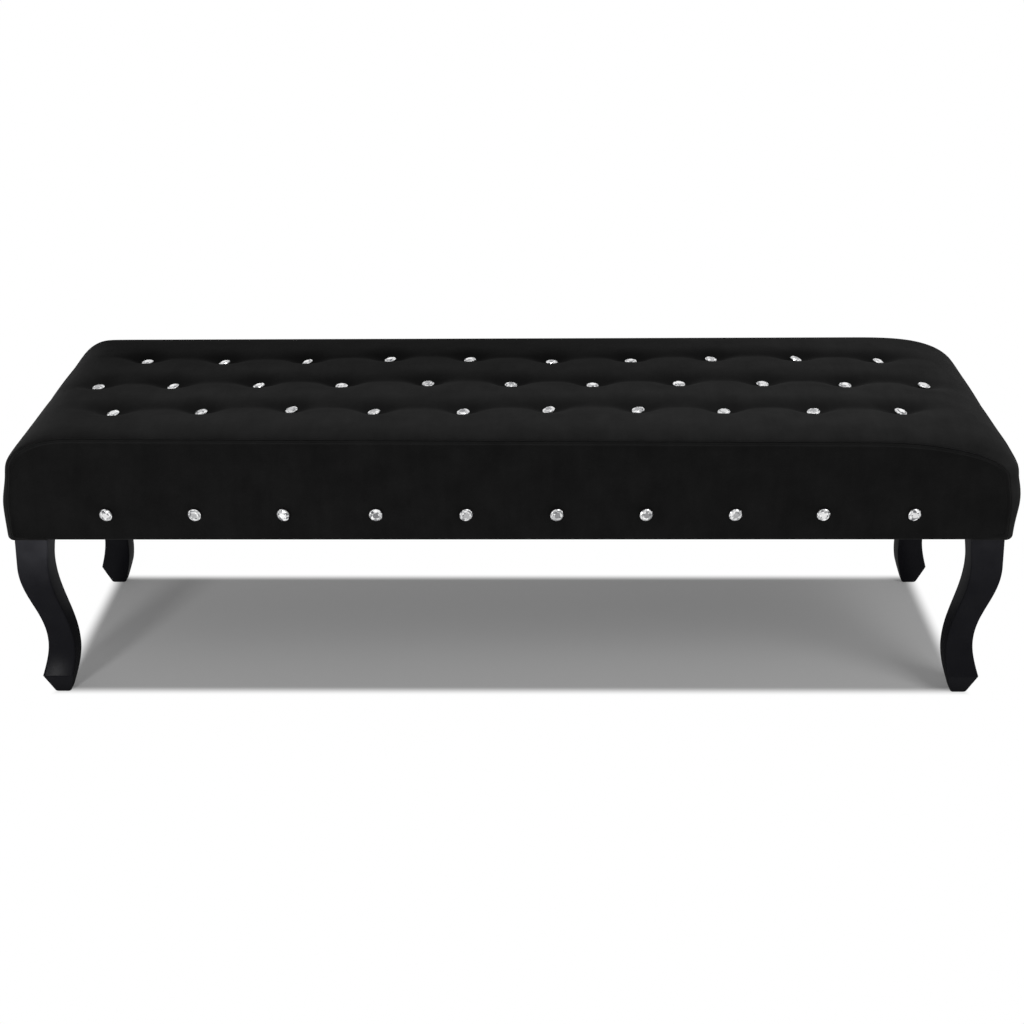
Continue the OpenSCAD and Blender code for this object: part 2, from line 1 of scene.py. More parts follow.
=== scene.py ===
# %% [markdown]
# # A velvet bench with crystal buttons
# The bench is a long, low seat on four curved legs. One sheet of black velvet runs over the seat and down
# both ends, and rows of crystals draw it into soft pillows. A flat panel of the same velvet closes the
# front, and another the back.
#
# The construction drawing comes first: every part of it is loaded here as a fixed frame. The lesson then
# dresses that frame, piece by piece. X runs along the bench, Y from its front to its back and Z up.

# %% Load the frame
import math

import bmesh
import bpy
import numpy as np
from mathutils import Matrix, Vector
from mathutils.bvhtree import BVHTree


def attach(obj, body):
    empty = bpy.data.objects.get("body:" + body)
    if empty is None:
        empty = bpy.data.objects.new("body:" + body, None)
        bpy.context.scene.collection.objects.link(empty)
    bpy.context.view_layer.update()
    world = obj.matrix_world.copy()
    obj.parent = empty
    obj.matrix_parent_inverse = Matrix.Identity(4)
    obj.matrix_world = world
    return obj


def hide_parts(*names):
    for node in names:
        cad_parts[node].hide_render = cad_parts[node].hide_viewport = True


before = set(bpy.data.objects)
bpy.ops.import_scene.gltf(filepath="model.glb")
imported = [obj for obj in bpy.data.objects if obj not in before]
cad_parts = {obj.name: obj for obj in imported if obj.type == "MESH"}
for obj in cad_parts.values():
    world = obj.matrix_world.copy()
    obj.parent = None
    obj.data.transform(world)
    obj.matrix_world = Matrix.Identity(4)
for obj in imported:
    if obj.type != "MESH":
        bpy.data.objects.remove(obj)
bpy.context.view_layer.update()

# %% [markdown]
# ## Sizes
# The frame knows where each part is, but not the curves that it was drawn with. These few sizes repeat
# the drawing's, in millimetres, as an upholsterer would measure them. They turn into metres only where a
# mesh is made, because Blender and the frame count in metres.

# %% Sizes of the seat, in millimetres
seam_x, seam_y, seam_z = 592.0, 200.0, 348.0
under_z = 220.0
left_run, left_drop = 60.0, 40.0
right_run, right_drop = 120.0, 48.0
crown, dimple, crease = 7.0, 8.5, 6.0
row_x, middle_x, row_gap = 480.0, 521.0, 100.0
row_end, middle_end = 4.5, 5.0
pitch = row_x / row_end
hem_width = 40.0
velvet_thick, layer_gap = 1.2, 0.3
print("buttons stand", round(pitch, 1), "mm apart")

# %% [markdown]
# ## Camera
# The picture was taken from in front, a little to the right of the middle and about 23 degrees above the
# seat, through a lens a little longer than normal. The place and the turn of the camera come from the
# seat's corners and the buttons, whose real places are known.

# %% Camera
# In radians: how far the camera looks down, how far it swings to the left, and how far it leans over
looks_down, swing, roll = 0.397172, 0.016429, -0.006822
camera_place = (0.0377, -2.1540, 1.0765)
ahead = Vector((-math.sin(swing) * math.cos(looks_down), math.cos(swing) * math.cos(looks_down),
                -math.sin(looks_down)))
level = Vector((math.cos(swing), math.sin(swing), 0))
above = level.cross(ahead)
right = level * math.cos(roll) + above * math.sin(roll)
up = above * math.cos(roll) - level * math.sin(roll)

camera_data = bpy.data.cameras.new("camera")
camera_data.lens, camera_data.sensor_width = 62.77, 36
camera = bpy.data.objects.new("camera", camera_data)
bpy.context.scene.collection.objects.link(camera)
camera.matrix_world = Matrix.Translation(camera_place) @ Matrix((right, up, -ahead)).transposed().to_4x4()
bpy.context.scene.camera = camera
print("camera at", [round(v, 3) for v in camera.location])

# %% [markdown]
# ## Floor and light
# A photographer would stand such a dark piece on a white sweep. The floor is white paper. Between the legs
# it is lit by the lamps, so it keeps the shadow, and everywhere else the camera sees it as plain white. The
# world is white to the camera and to mirror-like surfaces, but lights the scene gently. A far lamp straight
# overhead gives the even shadow, a near softbox at the right models the pillows, and a small low one at the
# left draws highlights on the left legs.

# %% Colours and nodes
def linear(code):
    """The linear colour of an sRGB hex code such as "1a1b1c"."""
    parts = [int(code[k:k + 2], 16) / 255 for k in (0, 2, 4)]
    return (*[c / 12.92 if c <= 0.04045 else ((c + 0.055) / 1.055) ** 2.4 for c in parts], 1.0)


def add_node(tree, kind, inputs=None, **settings):
    """Adds one node with its settings. Each input is a plain value, the output that feeds it, or a node that
    feeds it from its first output."""
    node = tree.nodes.new(kind)
    for name, value in settings.items():
        setattr(node, name, value)
    for name, value in (inputs or {}).items():
        if isinstance(value, bpy.types.Node):
            value = value.outputs[0]
        if isinstance(value, bpy.types.NodeSocket):
            tree.links.new(value, node.inputs[name])
        else:
            node.inputs[name].default_value = value
    return node


# %% The world
def looked_at(tree):
    """1 where the camera sees a thing, straight or through glass, or sees it mirrored, and 0 elsewhere."""
    path = add_node(tree, "ShaderNodeLightPath")
    seen = add_node(tree, "ShaderNodeMath", {
        0: path.outputs["Is Camera Ray"], 1: path.outputs["Is Transmission Ray"]}, operation="MAXIMUM")
    return add_node(tree, "ShaderNodeMath", {0: seen, 1: path.outputs["Is Glossy Ray"]}, operation="MAXIMUM")


world = bpy.data.worlds.new("studio")
bpy.context.scene.world = world
world.use_nodes = True
sky = world.node_tree
sky.nodes.clear()
strength = add_node(sky, "ShaderNodeMapRange", {"Value": looked_at(sky), "To Min": 0.15, "To Max": 1.0})
white_sky = add_node(sky, "ShaderNodeBackground", {"Color": (1, 1, 1, 1), "Strength": strength})
add_node(sky, "ShaderNodeOutputWorld", {"Surface": white_sky})
print("world made")

# %% The floor
def link_mesh(name, mesh, *materials):
    """An object for a mesh, with its materials."""
    for material in materials:
        mesh.materials.append(material)
    obj = bpy.data.objects.new(name, mesh)
    bpy.context.scene.collection.objects.link(obj)
    return obj


def new_material(name):
    """An empty material, ready for its nodes."""
    material = bpy.data.materials.new(name)
    material.use_nodes = True
    material.node_tree.nodes.clear()
    return material, material.node_tree


paper, tree = new_material("matt white paper")
lit = add_node(tree, "ShaderNodeBsdfDiffuse", {"Color": linear("ffffff")})
plain = add_node(tree, "ShaderNodeEmission", {"Color": (1, 1, 1, 1), "Strength": 1.0})
# The lit paper, which holds the shadow, lies between the legs. Outside this rectangle it counts as plain
# white, and the change takes 24 mm
lit_half, change_half = (0.566, 0.17, 0), 0.012
place = add_node(tree, "ShaderNodeTexCoord")
either_side = add_node(tree, "ShaderNodeVectorMath", {0: place.outputs["Object"]}, operation="ABSOLUTE")
beyond = add_node(tree, "ShaderNodeVectorMath", {0: either_side, 1: lit_half}, operation="SUBTRACT")
outside = add_node(tree, "ShaderNodeSeparateXYZ", {"Vector": beyond})
away = add_node(tree, "ShaderNodeMath", {
    0: outside.outputs["X"], 1: outside.outputs["Y"]}, operation="MAXIMUM")
fade = add_node(tree, "ShaderNodeMapRange", {
    "Value": away, "From Min": -change_half, "From Max": change_half, "To Min": 0.1, "To Max": 1.0},
    interpolation_type="SMOOTHSTEP")
share = add_node(tree, "ShaderNodeMath", {0: looked_at(tree), 1: fade}, operation="MULTIPLY")
both = add_node(tree, "ShaderNodeMixShader", {0: share, 1: lit, 2: plain})
add_node(tree, "ShaderNodeOutputMaterial", {"Surface": both})

floor_mesh = bpy.data.meshes.new("floor")
floor_mesh.from_pydata([(-12, -12, 0), (12, -12, 0), (12, 12, 0), (-12, 12, 0)], [], [(0, 1, 2, 3)])
floor = link_mesh("floor", floor_mesh, paper)
print("floor laid")

# %% The lamps
def soft_lamp(name, place, aim, width, height, power):
    """A softbox that looks from its place to the point it aims at."""
    lamp = bpy.data.lights.new(name, "AREA")
    lamp.shape, lamp.size, lamp.size_y, lamp.energy = "RECTANGLE", width, height, power
    obj = bpy.data.objects.new(name, lamp)
    bpy.context.scene.collection.objects.link(obj)
    obj.matrix_world = (Matrix.Translation(place)
                        @ (Vector(aim) - Vector(place)).to_track_quat("-Z", "Y").to_matrix().to_4x4())
    return obj


sun = bpy.data.lights.new("far overhead lamp", "SUN")
sun.energy, sun.angle = 2.4, math.radians(6)
overhead = bpy.data.objects.new("far overhead lamp", sun)
bpy.context.scene.collection.objects.link(overhead)
overhead.location = (0, 0, 5)
right_front = soft_lamp("right softbox", (1.3, -1.1, 1.3), (0.3, -0.1, 0.3), 0.7, 0.7, 5)
left_low = soft_lamp("low left box", (-1.2, -2.3, 0.5), (-0.57, -0.19, 0.1), 0.3, 0.3, 18)
for lamp in (right_front, left_low):
    lamp.visible_camera = False
print("lamps:", sun.energy, right_front.data.energy, left_low.data.energy)

# %% [markdown]
# ## Black velvet
# Velvet is a woven cloth with a short, dense pile that stands on end. The pile drinks the light that falls
# straight into it and shines at its edges, so velvet looks darkest where you look straight at it and
# lighter where it turns away. A trace of the shader's sheen gives that shine. Shade is also painted into the
# colour, nearly black in places: each sheet stores its painted shade point by point, and the material reads
# it. The pile also lies in slightly different directions from place to place, which gives soft patches a few
# centimetres wide.

# %% The velvet's material
velvet, tree = new_material("woven polyester velvet, black")
cloth_uv = add_node(tree, "ShaderNodeUVMap", uv_map="cloth")
# The UV map counts in metres. Patches of pile are about 40 mm wide, and the pile itself, far too fine to
# show, is drawn 1.2 mm wide. The stored attribute is painted shade: 0 where the velvet keeps its colour,
# and 1 where its colour is painted nearly black.
patches = add_node(tree, "ShaderNodeTexNoise", {"Vector": cloth_uv, "Scale": 25, "Detail": 3})
pile = add_node(tree, "ShaderNodeTexNoise", {"Vector": cloth_uv, "Scale": 850, "Detail": 2})
# Fingers and packing paper leave strokes across the seat
across_seat = add_node(tree, "ShaderNodeMapping", {"Vector": cloth_uv, "Scale": (1, 0.2, 1)})
strokes = add_node(tree, "ShaderNodeTexNoise", {"Vector": across_seat, "Scale": 110, "Detail": 3})
marks_seen = add_node(tree, "ShaderNodeMix", {
    "Factor": 0.3, "A": patches.outputs["Fac"], "B": strokes.outputs["Fac"]})
shade = add_node(tree, "ShaderNodeMapRange", {"Value": marks_seen, "From Min": 0.34, "From Max": 0.66})
brushed = add_node(tree, "ShaderNodeMix", {
    "Factor": shade, "A": linear("1d1d1d"), "B": linear("242424")}, data_type="RGBA")
painted_shade_node = add_node(tree, "ShaderNodeAttribute", attribute_name="painted_shade")
# The painted shade darkens the colour towards near black
colour = add_node(tree, "ShaderNodeMix", {
    "Factor": painted_shade_node.outputs["Fac"], "A": brushed.outputs["Result"], "B": linear("020202")},
    data_type="RGBA")
ruffled = add_node(tree, "ShaderNodeBump", {
    "Height": patches.outputs["Fac"], "Strength": 0.25, "Distance": 0.006})
bristly = add_node(tree, "ShaderNodeBump", {
    "Height": pile.outputs["Fac"], "Strength": 0.35, "Distance": 0.0006, "Normal": ruffled})
shader = add_node(tree, "ShaderNodeBsdfPrincipled", {
    "Base Color": colour.outputs["Result"], "Roughness": 0.85, "Specular IOR Level": 0.0,
    "Sheen Weight": 0.05, "Sheen Roughness": 0.5, "Sheen Tint": linear("ffffff"), "Normal": bristly})
add_node(tree, "ShaderNodeOutputMaterial", {"Surface": shader})
print("velvet ready")

# %% [markdown]
# ## The velvet over the seat
# On the real bench the cover is one sheet. It is stapled under one end, goes up that end, over the seat and
# down the other end. Wadding pushes it up from below, and thirty-one buttons pull it down in three rows,
# so it forms long rolls that meet along a crease through each row. A subdivided cube would give none of
# this. Here a grid follows the section of the seat and rises with the rolls. It is then blown up gently as
# cloth, held at the buttons and the seams, so that the rolls are as round as stuffed ones.

# %% The seat's outline, seen from the front
def ramp(value, start, end):
    """0 up to the start and 1 past the end, with a smooth change between them."""
    t = np.clip((value - start) / (end - start), 0, 1)
    return t * t * (3 - 2 * t)


def close_to(distance, width, power=2):
    """1 at no distance, fading to 0 past the width. A higher power makes a flatter top and steeper sides."""
    return np.exp(-(distance / width) ** power)


def round_corner(x, left, right):
    """How far the outline has dropped at x, from the run and drop of each corner, and how far round it is:
    0 on the flat top, 1 at the end."""
    run, drop = np.where(x < 0, left[0], right[0]), np.where(x < 0, left[1], right[1])
    c = np.clip((np.abs(x) - seam_x + run) / run, 0, 1)
    return drop * (1 - np.sqrt(1 - c * c)), c


def outline_at(x):
    """Height of the seam at x, and the direction that points out of the seat there."""
    fallen, c = round_corner(x, (left_run, left_drop), (right_run, right_drop))
    return seam_z - fallen, np.sign(x) * c, np.sqrt(1 - c * c)


def corner_columns(side, count):
    """Places along the rounded corner, evenly spaced along the curve, from the flat top outwards."""
    run, drop = (left_run, left_drop) if side < 0 else (right_run, right_drop)
    angle = np.linspace(0, math.pi / 2, 400)
    x, z = run * np.sin(angle), drop * np.cos(angle)
    length = np.concatenate([[0], np.cumsum(np.hypot(np.diff(x), np.diff(z)))])
    even = np.interp(np.linspace(0, length[-1], count + 1)[1:], length, angle)
    return side * (seam_x - run * (1 - np.sin(even)))


column_gap = pitch / 14
left_top = np.ceil((left_run - seam_x) / column_gap) * column_gap
right_top = np.floor((seam_x - right_run) / column_gap) * column_gap
flat_top = np.arange(left_top, right_top + 0.1, column_gap)
top_columns = np.concatenate([corner_columns(-1, 10)[::-1], flat_top, corner_columns(1, 18)])
print(len(top_columns), "columns over the top,", round(column_gap, 2), "mm apart")

# %% Where the buttons sit
# Rows from front to back. A button is tied by hand, so each stands a few millimetres off its mark: the
# numbers say how far along and how far back, in millimetres. Six is the most.
row_places = [np.arange(-row_end, row_end + 0.1), np.arange(-middle_end, middle_end + 0.1),
              np.arange(-row_end, row_end + 0.1)]
row_depths = [-row_gap, 0.0, row_gap]
off_along = [[-1, -1, 2, -3, -1, -3, -1, -4, -2, -5], [-1, 0, 2, 0, 3, 2, -1, 2, 1, -2, 2],
             [-1, -4, -1, 1, 0, 1, -1, -2, 3, 3]]
off_back = [[-6, 0, 6, -2, -2, 5, 4, 0, -1, -6], [-6, -5, -1, -1, 6, 1, -1, 3, 3, -3, -6],
            [0, -6, -5, 6, 5, -6, 0, 5, 6, -5]]


def x_of(q):
    """Distance along the bench of a place in a row, counted in pitches from the centre."""
    far = np.abs(q)
    past = (far - row_end) / (middle_end - row_end)
    return np.sign(q) * np.where(far <= row_end, far * pitch, row_x + (middle_x - row_x) * past)


def place_of(x):
    """The place in a row at x. The end buttons of the middle row stand a little closer."""
    far = np.abs(x)
    past = (far - row_x) / (middle_x - row_x)
    q = np.where(far <= row_x, far / pitch, row_end + (middle_end - row_end) * past)
    return np.sign(x) * np.minimum(q, middle_end)


def back_to_marks(x, y):
    """The point that lies over (x, y) on the drawing, where every button stands on its mark."""
    off_x = off_y = 0
    for q, depth, along, back in zip(row_places, row_depths, off_along, off_back):
        share = np.clip(1 - np.abs(y - depth) / row_gap, 0, 1)
        off_x = off_x + share * np.interp(x, x_of(q), along)
        off_y = off_y + share * np.interp(x, x_of(q), back)
    return x - off_x, y - off_y


marks = [(float(x_of(q)), depth) for places, depth in zip(row_places, row_depths) for q in places]
print(len(marks), "buttons on the seat")

# %% The pillows
# The velvet rises a little more than the drawing's over the front two rows, so that each roll hides the far
# side of its crease from the eye
plump_most = 2.2
# A crease is deepest at its buttons. Between two of them it has this share of its depth
least_crease = 0.65
# A short fold runs from the first front button down to the left corner: its direction, depth and width
fold_x, fold_y, fold_deep, fold_wide = -0.75, -0.66, 1.6, 4
# How square the seat's section is from front to back: the top rolls into its seams, the ends are nearly flat
rolling, square = 6, 40


def to_button(x, y):
    """Distance to the nearest button's mark."""
    near = np.full(np.broadcast(x, y).shape, 1e9)
    for mark_x, mark_y in marks:
        near = np.minimum(near, np.hypot(x - mark_x, y - mark_y))
    return near


def across(y, power):
    """The swell from the front seam to the back seam: 0 at both, 1 over most of the seat."""
    return np.sqrt(1 - np.clip(np.abs(y) / seam_y, 0, 1) ** power)


def pillow(x_cloth, y_cloth):
    """Height of the velvet over the seam. A crease runs along each row, and each button adds its dip."""
    x, y = back_to_marks(x_cloth, y_cloth)
    q, far = place_of(x), np.abs(y)
    between = np.sin(np.pi * np.minimum(far, row_gap) / row_gap)
    outside = np.sin(np.pi / 2 * np.clip((far - row_gap) / (row_gap / 2), 0, 1))
    fold = np.where(far > row_gap, outside, between) ** 0.5
    side_row = far > row_gap / 2
    at_button = np.where(side_row, np.sin(np.pi * q) ** 2, np.cos(np.pi * q) ** 2)
    last = np.where(side_row, row_x, middle_x)
    plump = plump_most * (1 - ramp(y_cloth, 60, 130))
    depth = (crease + plump) * (least_crease + (1 - least_crease) * at_button)
    depth = depth * (1 - ramp(np.abs(x) - last, 0, 90))
    dip = close_to(to_button(x, y), 20) * (crown + dimple - crease)
    from_x, from_y = x + row_x, y + row_gap
    along, beside = from_x * fold_x + from_y * fold_y, from_y * fold_x - from_x * fold_y
    corner_fold = fold_deep * close_to(beside, fold_wide) * ramp(along, 0, 14) * (1 - ramp(along, 22, 48))
    return across(y_cloth, rolling) * (crown + plump - depth * (1 - fold) - dip) - corner_fold


print("lowest and highest pillow:", pillow(0.0, 0.0).round(1), pillow(pitch / 2, 0.0).round(1))

# %% The ends
# The ends swell between the seams, the right one more than the left. Height in millimetres, then how far
# each end stands out beyond the seam there.
end_heights, end_middle = [220, 224, 235, 245, 266, 286, 308], 264
end_swells = {-1: [5.3, 5.3, 5.4, 5.6, 5.6, 4.8, 3.0], 1: [7.6, 7.5, 7.6, 8.4, 11.4, 13.0, 9.6]}
swell_curves = {side: np.polyfit(np.array(end_heights) - end_middle, swells, 4)
                for side, swells in end_swells.items()}
# Towards the back the upper part of each end stands out this much more
back_more = 2.4
# The side seams stand out with the ends, and lean in again towards the bottom
seam_out, seam_in, lean_top = 5.5, 1.5, 285
# Extra fullness of the right corner. It fades towards the end, and near the flat top the pillows outweigh it
corner_plump = 18
# Columns of the cover under the frame, round its lower edge, and up each end
hem_columns, bend_columns, wall_columns, bend = 5, 5, 11, 5.0


def end_swell(side, z):
    """How far an end stands out at a height: the curve that runs closest to its measures."""
    return np.polyval(swell_curves[side], z - end_middle)


def fuller_back(z, y):
    return back_more * ramp(y, -150, 100) * ramp(z, 240, 300)


def seam_x_at(z):
    """How far out the side seams stand at a height."""
    low = np.clip(lean_top - z, 0, None) / (lean_top - under_z)
    return seam_x + seam_out * ramp(z, 306, 261) - seam_in * low ** 2


def corner_swell(x, y, c):
    """How far the rounded corners stand out, growing towards the ends."""
    left = end_swell(-1, seam_z - left_drop) * c ** 4
    right = end_swell(1, seam_z - right_drop) + corner_plump * np.sqrt(1 - c)
    return np.where(x < 0, left, right) + fuller_back(300, y) * c * c


def top_point(x, y):
    """A point of the velvet over the seat, and on the rounded corners."""
    z, out_x, out_z = outline_at(x)
    share = out_z * out_z
    rise = share * pillow(x, y) + (1 - share) * across(y, square) * corner_swell(x, y, np.abs(out_x))
    return np.stack(np.broadcast_arrays(x + rise * out_x, y, z + rise * out_z), -1)


def end_columns(side):
    """Columns from the hem's inner edge, round the lower edge and up the end. Each holds a place on the
    seam's line, the direction of the cloth's thickness there and how far the end swells at that height."""
    top = seam_z - (left_drop if side < 0 else right_drop)
    low_x, low_swell = seam_x_at(under_z + bend), end_swell(side, under_z + bend)
    inner = seam_x - hem_width
    columns = [(inner + (low_x - bend - inner) * t, under_z, 0, -1, low_swell * t)
               for t in np.linspace(0, 1, hem_columns)]
    for angle in np.radians(np.linspace(0, 90, bend_columns + 1)[1:]):
        columns.append((low_x - bend + bend * math.sin(angle), under_z + bend - bend * math.cos(angle),
                        math.sin(angle), -math.cos(angle), low_swell))
    for z in np.linspace(under_z + bend, top, wall_columns + 1)[1:]:
        columns.append((seam_x_at(z), z, 1, 0, end_swell(side, z)))
    return [(side * x, z, side * out_x, out_z, swell) for x, z, out_x, out_z, swell in columns]


def end_point(column, y):
    """Points of the velvet along one column of an end."""
    x, z, _, _, swell = column
    out = (swell + fuller_back(z, y)) * across(y, square)
    return np.stack([x + np.sign(x) * out, y, np.full_like(y, z)], -1)


left_columns, right_columns = end_columns(-1), end_columns(1)[::-1]
print(len(left_columns), "columns down each end")

# %% Where the seams hang
# The real front seam runs a little downhill to the right, and its rounded corners are wider than the
# drawing's. The back seam lies a little lower than the front one. For each: how far it lies over the drawn
# seam at the middle, how much it climbs along the bench, and the run and drop of its left and right corner.
front_hang = (0.3, -0.0057, (75.0, left_drop + 2.0), (160.0, 46.0))
back_hang = (-1.5, 0.0015, (40.0, left_drop), (right_run, right_drop))


def hung_z(x, hang):
    """Height of a seam at x."""
    over, climb, left_corner, right_corner = hang
    return seam_z + over + climb * x - round_corner(x, left_corner, right_corner)[0]


def settle(points, x, share):
    """Moves a column of the cover to where the seams hang. The share is 1 on the top and 0 at the hem."""
    front, back = ramp(-points[:, 1], 130, seam_y), ramp(points[:, 1], 130, seam_y)
    drawn = outline_at(x)[0]
    points[:, 2] += share * (front * (hung_z(x, front_hang) - drawn) + back * (hung_z(x, back_hang) - drawn))
    return points


def whole_cover(y):
    """All columns of the cover at the given depths, from the left hem to the right one."""
    columns = []
    for column in left_columns[:-1]:
        share = (column[1] - under_z) / (seam_z - left_drop - under_z)
        columns.append(settle(end_point(column, y), -seam_x, share))
    for x in top_columns:
        columns.append(settle(top_point(np.full_like(y, x), y), x, 1.0))
    for column in right_columns[1:]:
        share = (column[1] - under_z) / (seam_z - right_drop - under_z)
        columns.append(settle(end_point(column, y), seam_x, share))
    return np.stack(columns)


# %% The grid of the cover
# Thirteen steps of the grid lead from one row of buttons to the next, and its lines crowd at the seams
step = row_gap / 13
to_seam = np.array([195.5, 197.8, 199.2, 199.9])
rows = np.concatenate([-to_seam[::-1], np.arange(-25, 25.5) * step, to_seam])
# Past the last line the edge rolls into the seam: how far from the seam's line it lies, and how deep
roll_in = [(0.0, 0.4), (0.3, 1.3), (1.1, 2.0), (2.0, 2.4)]
thick = np.array([(c[2], c[3]) for c in left_columns[:-1]]
                 + [(float(a), float(b)) for a, b in zip(*outline_at(top_columns)[1:])]
                 + [(c[2], c[3]) for c in right_columns[1:]])
front_seam = whole_cover(np.array([-seam_y]))[:, 0]
back_seam = whole_cover(np.array([seam_y]))[:, 0]


def rolled_rows(seam, side):
    """The lines of the grid where the velvet's edge rolls into a seam."""
    lines = []
    for inward, deep in roll_in:
        line = seam.copy()
        line[:, 1] = side * (seam_y - inward)
        line[:, 0] -= deep * thick[:, 0]
        line[:, 2] -= deep * thick[:, 1]
        lines.append(line)
    return np.stack(lines, 1)


cover_grid = np.concatenate([
    rolled_rows(front_seam, -1)[:, ::-1], whole_cover(rows), rolled_rows(back_seam, 1)], 1)
n, m = cover_grid.shape[:2]
print("grid of the cover:", n, "columns of", m, "points")

# %% Turn a grid into a mesh
def grid_faces(n, m, first=0):
    """The faces between n columns of m points each, counted from the first point."""
    return [(k, k + m, k + m + 1, k + 1)
            for start in range(first, first + (n - 1) * m, m) for k in range(start, start + m - 1)]


def length_along(line):
    """How far each point of a line in millimetres lies from its start, in metres of cloth."""
    return np.concatenate([[0], np.cumsum(np.linalg.norm(np.diff(line, axis=0), axis=1))]) * 0.001


def grid_mesh(name, points, material):
    """A mesh through a grid of points in millimetres, with a UV map that counts in metres of cloth."""
    n, m = points.shape[:2]
    mesh = bpy.data.meshes.new(name)
    mesh.from_pydata((points.reshape(-1, 3) * 0.001).tolist(), [], grid_faces(n, m))
    along, over = length_along(points[:, m // 2]), length_along(points[n // 2])
    uv = mesh.uv_layers.new(name="cloth")
    corners = np.array([loop.vertex_index for loop in mesh.loops])
    uv.data.foreach_set("uv", np.stack([along[corners // m], over[corners % m]], -1).ravel())
    mesh.shade_smooth()
    return link_mesh(name, mesh, material), (float(along[-1]), float(over[-1]))


cover, cover_flat = grid_mesh("velvet_cover", cover_grid, velvet)
print("cover is cut", [round(v, 3) for v in cover_flat], "m")

# %% [markdown]
# ## Blow the cover up
# Blender's Cloth treats the grid as woven fabric. Air pressure stands in for the wadding. The points at
# the seams, the hems, the buttons and the creases are pinned. After twenty frames the cloth has found its
# own shape. No point may move more than 2 mm, so the seat keeps its size.

# %% Cloth simulation
def inflate(obj, pinned, most, pressure=4.0, frames=20):
    """Runs Cloth on a mesh and keeps the result. Pinned holds a weight for each point, most is in metres.
    Returns how far a point moved before that limit, and how far the points moved on average after it."""
    before = np.empty(len(obj.data.vertices) * 3)
    obj.data.vertices.foreach_get("co", before)
    before = before.reshape(-1, 3)
    held = obj.vertex_groups.new(name="held")
    for index, weight in enumerate(pinned):
        if weight > 0.01:
            held.add([index], float(weight), "REPLACE")
    cloth = obj.modifiers.new("cloth", "CLOTH")
    settings = cloth.settings
    settings.quality, settings.mass, settings.time_scale = 6, 0.35, 1.0
    settings.tension_stiffness, settings.compression_stiffness, settings.shear_stiffness = 25, 25, 8
    settings.bending_stiffness, settings.air_damping = 0.6, 3
    settings.use_pressure, settings.uniform_pressure_force = True, pressure
    settings.vertex_group_mass, settings.pin_stiffness = "held", 1.0
    settings.effector_weights.gravity = 0
    cloth.point_cache.frame_end = frames
    for number in range(1, frames + 1):
        bpy.context.scene.frame_set(number)
    blown = obj.evaluated_get(bpy.context.evaluated_depsgraph_get())
    after = np.empty(len(before) * 3)
    blown.data.vertices.foreach_get("co", after)
    after = after.reshape(-1, 3)
    obj.modifiers.remove(cloth)
    obj.vertex_groups.remove(held)
    bpy.context.scene.frame_set(1)
    moved = after - before
    length = np.linalg.norm(moved, axis=1, keepdims=True)
    moved *= np.minimum(1, most / np.maximum(length, 1e-9))
    obj.data.vertices.foreach_set("co", (before + moved).ravel())
    obj.data.update()
    return float(length.max()), float(np.linalg.norm(moved, axis=1).mean())


here_x, here_y, here_z = np.moveaxis(cover_grid, -1, 0)
marked_x, marked_y = back_to_marks(here_x, here_y)
# The velvet lies against the frame in these columns at either end of the grid
lying = hem_columns + bend_columns + 1
number = np.arange(n)[:, None]
on_top = (number >= len(left_columns) - 1) & (number < len(left_columns) - 1 + len(top_columns))
near_button = close_to(to_button(marked_x, marked_y), 14, 4) * on_top
near_crease = sum(close_to(marked_y - depth, 11, 4) for depth in row_depths)
near_crease = near_crease * (np.abs(marked_x) < row_x + 20) * on_top
near_seam = ramp(np.abs(here_y), 186, 195)
near_hem = ((number < lying) | (number >= n - lying)) * np.ones((1, m))
pins = np.clip(np.maximum.reduce([near_button, near_crease, near_seam, near_hem]), 0, 1)
print("free movement at most, and kept movement on average (m):", inflate(cover, pins.ravel(), 0.002))

# %% Painted shade on the velvet
# Shade is painted into the velvet: darker towards the back, at the left and along the front seam, and
# darkest at the foot of every roll, just behind each crease.
def set_painted_shade(mesh, painted_darkening):
    """Stores the painted shade at each point of a mesh, for the velvet's material."""
    mesh.attributes.new("painted_shade", "FLOAT", "POINT").data.foreach_set("value", painted_darkening)


over_top = ramp(here_z, 318, 340)
painted_darkening = 0.8 * ramp(here_y, -100, 220) * (1 - 0.7 * ramp(here_x, 0, 500))
painted_shade_at_left = 0.14 * (1 - ramp(here_x, -100, 400)) + 0.16 * ramp(-here_x, 380, 530)
painted_shade_at_front_seam = 0.3 * (1 - ramp(here_y, -200, -155))
painted_darkening = 1 - (1 - painted_darkening) * (1 - painted_shade_at_left) * (1 - painted_shade_at_front_seam)
# How dark the painted shade at the foot of each roll is, from the front row to the back one
pressed_dots_and_painted_shade = 0
for depth, most in zip(row_depths, (0.42, 0.5, 0.6)):
    behind = marked_y - depth
    pressed_dots_and_painted_shade = np.maximum(pressed_dots_and_painted_shade, most * close_to(np.abs(behind), np.where(behind > 0, 29, 6), 3))
pressed_dots_and_painted_shade = pressed_dots_and_painted_shade * (1 - ramp(np.abs(marked_x), row_x, row_x + 80))
painted_shade = (1 - (1 - painted_darkening) * (1 - pressed_dots_and_painted_shade)) * over_top
set_painted_shade(cover.data, painted_shade.ravel())
print("nap from", round(float(painted_shade.min()), 2), "to", round(float(painted_shade.max()), 2))

# %% Finish the cover
def thicken(sheet, millimetres, offset):
    """Gives a sheet its thickness: inwards with an offset of -1, to both sides with 0."""
    thickness = sheet.modifiers.new("thickness", "SOLIDIFY")
    thickness.thickness, thickness.offset = millimetres * 0.001, offset


def dress(piece, node):
    """The piece rides on the bench and stands for a part of the frame."""
    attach(piece, "root")
    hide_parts(node)


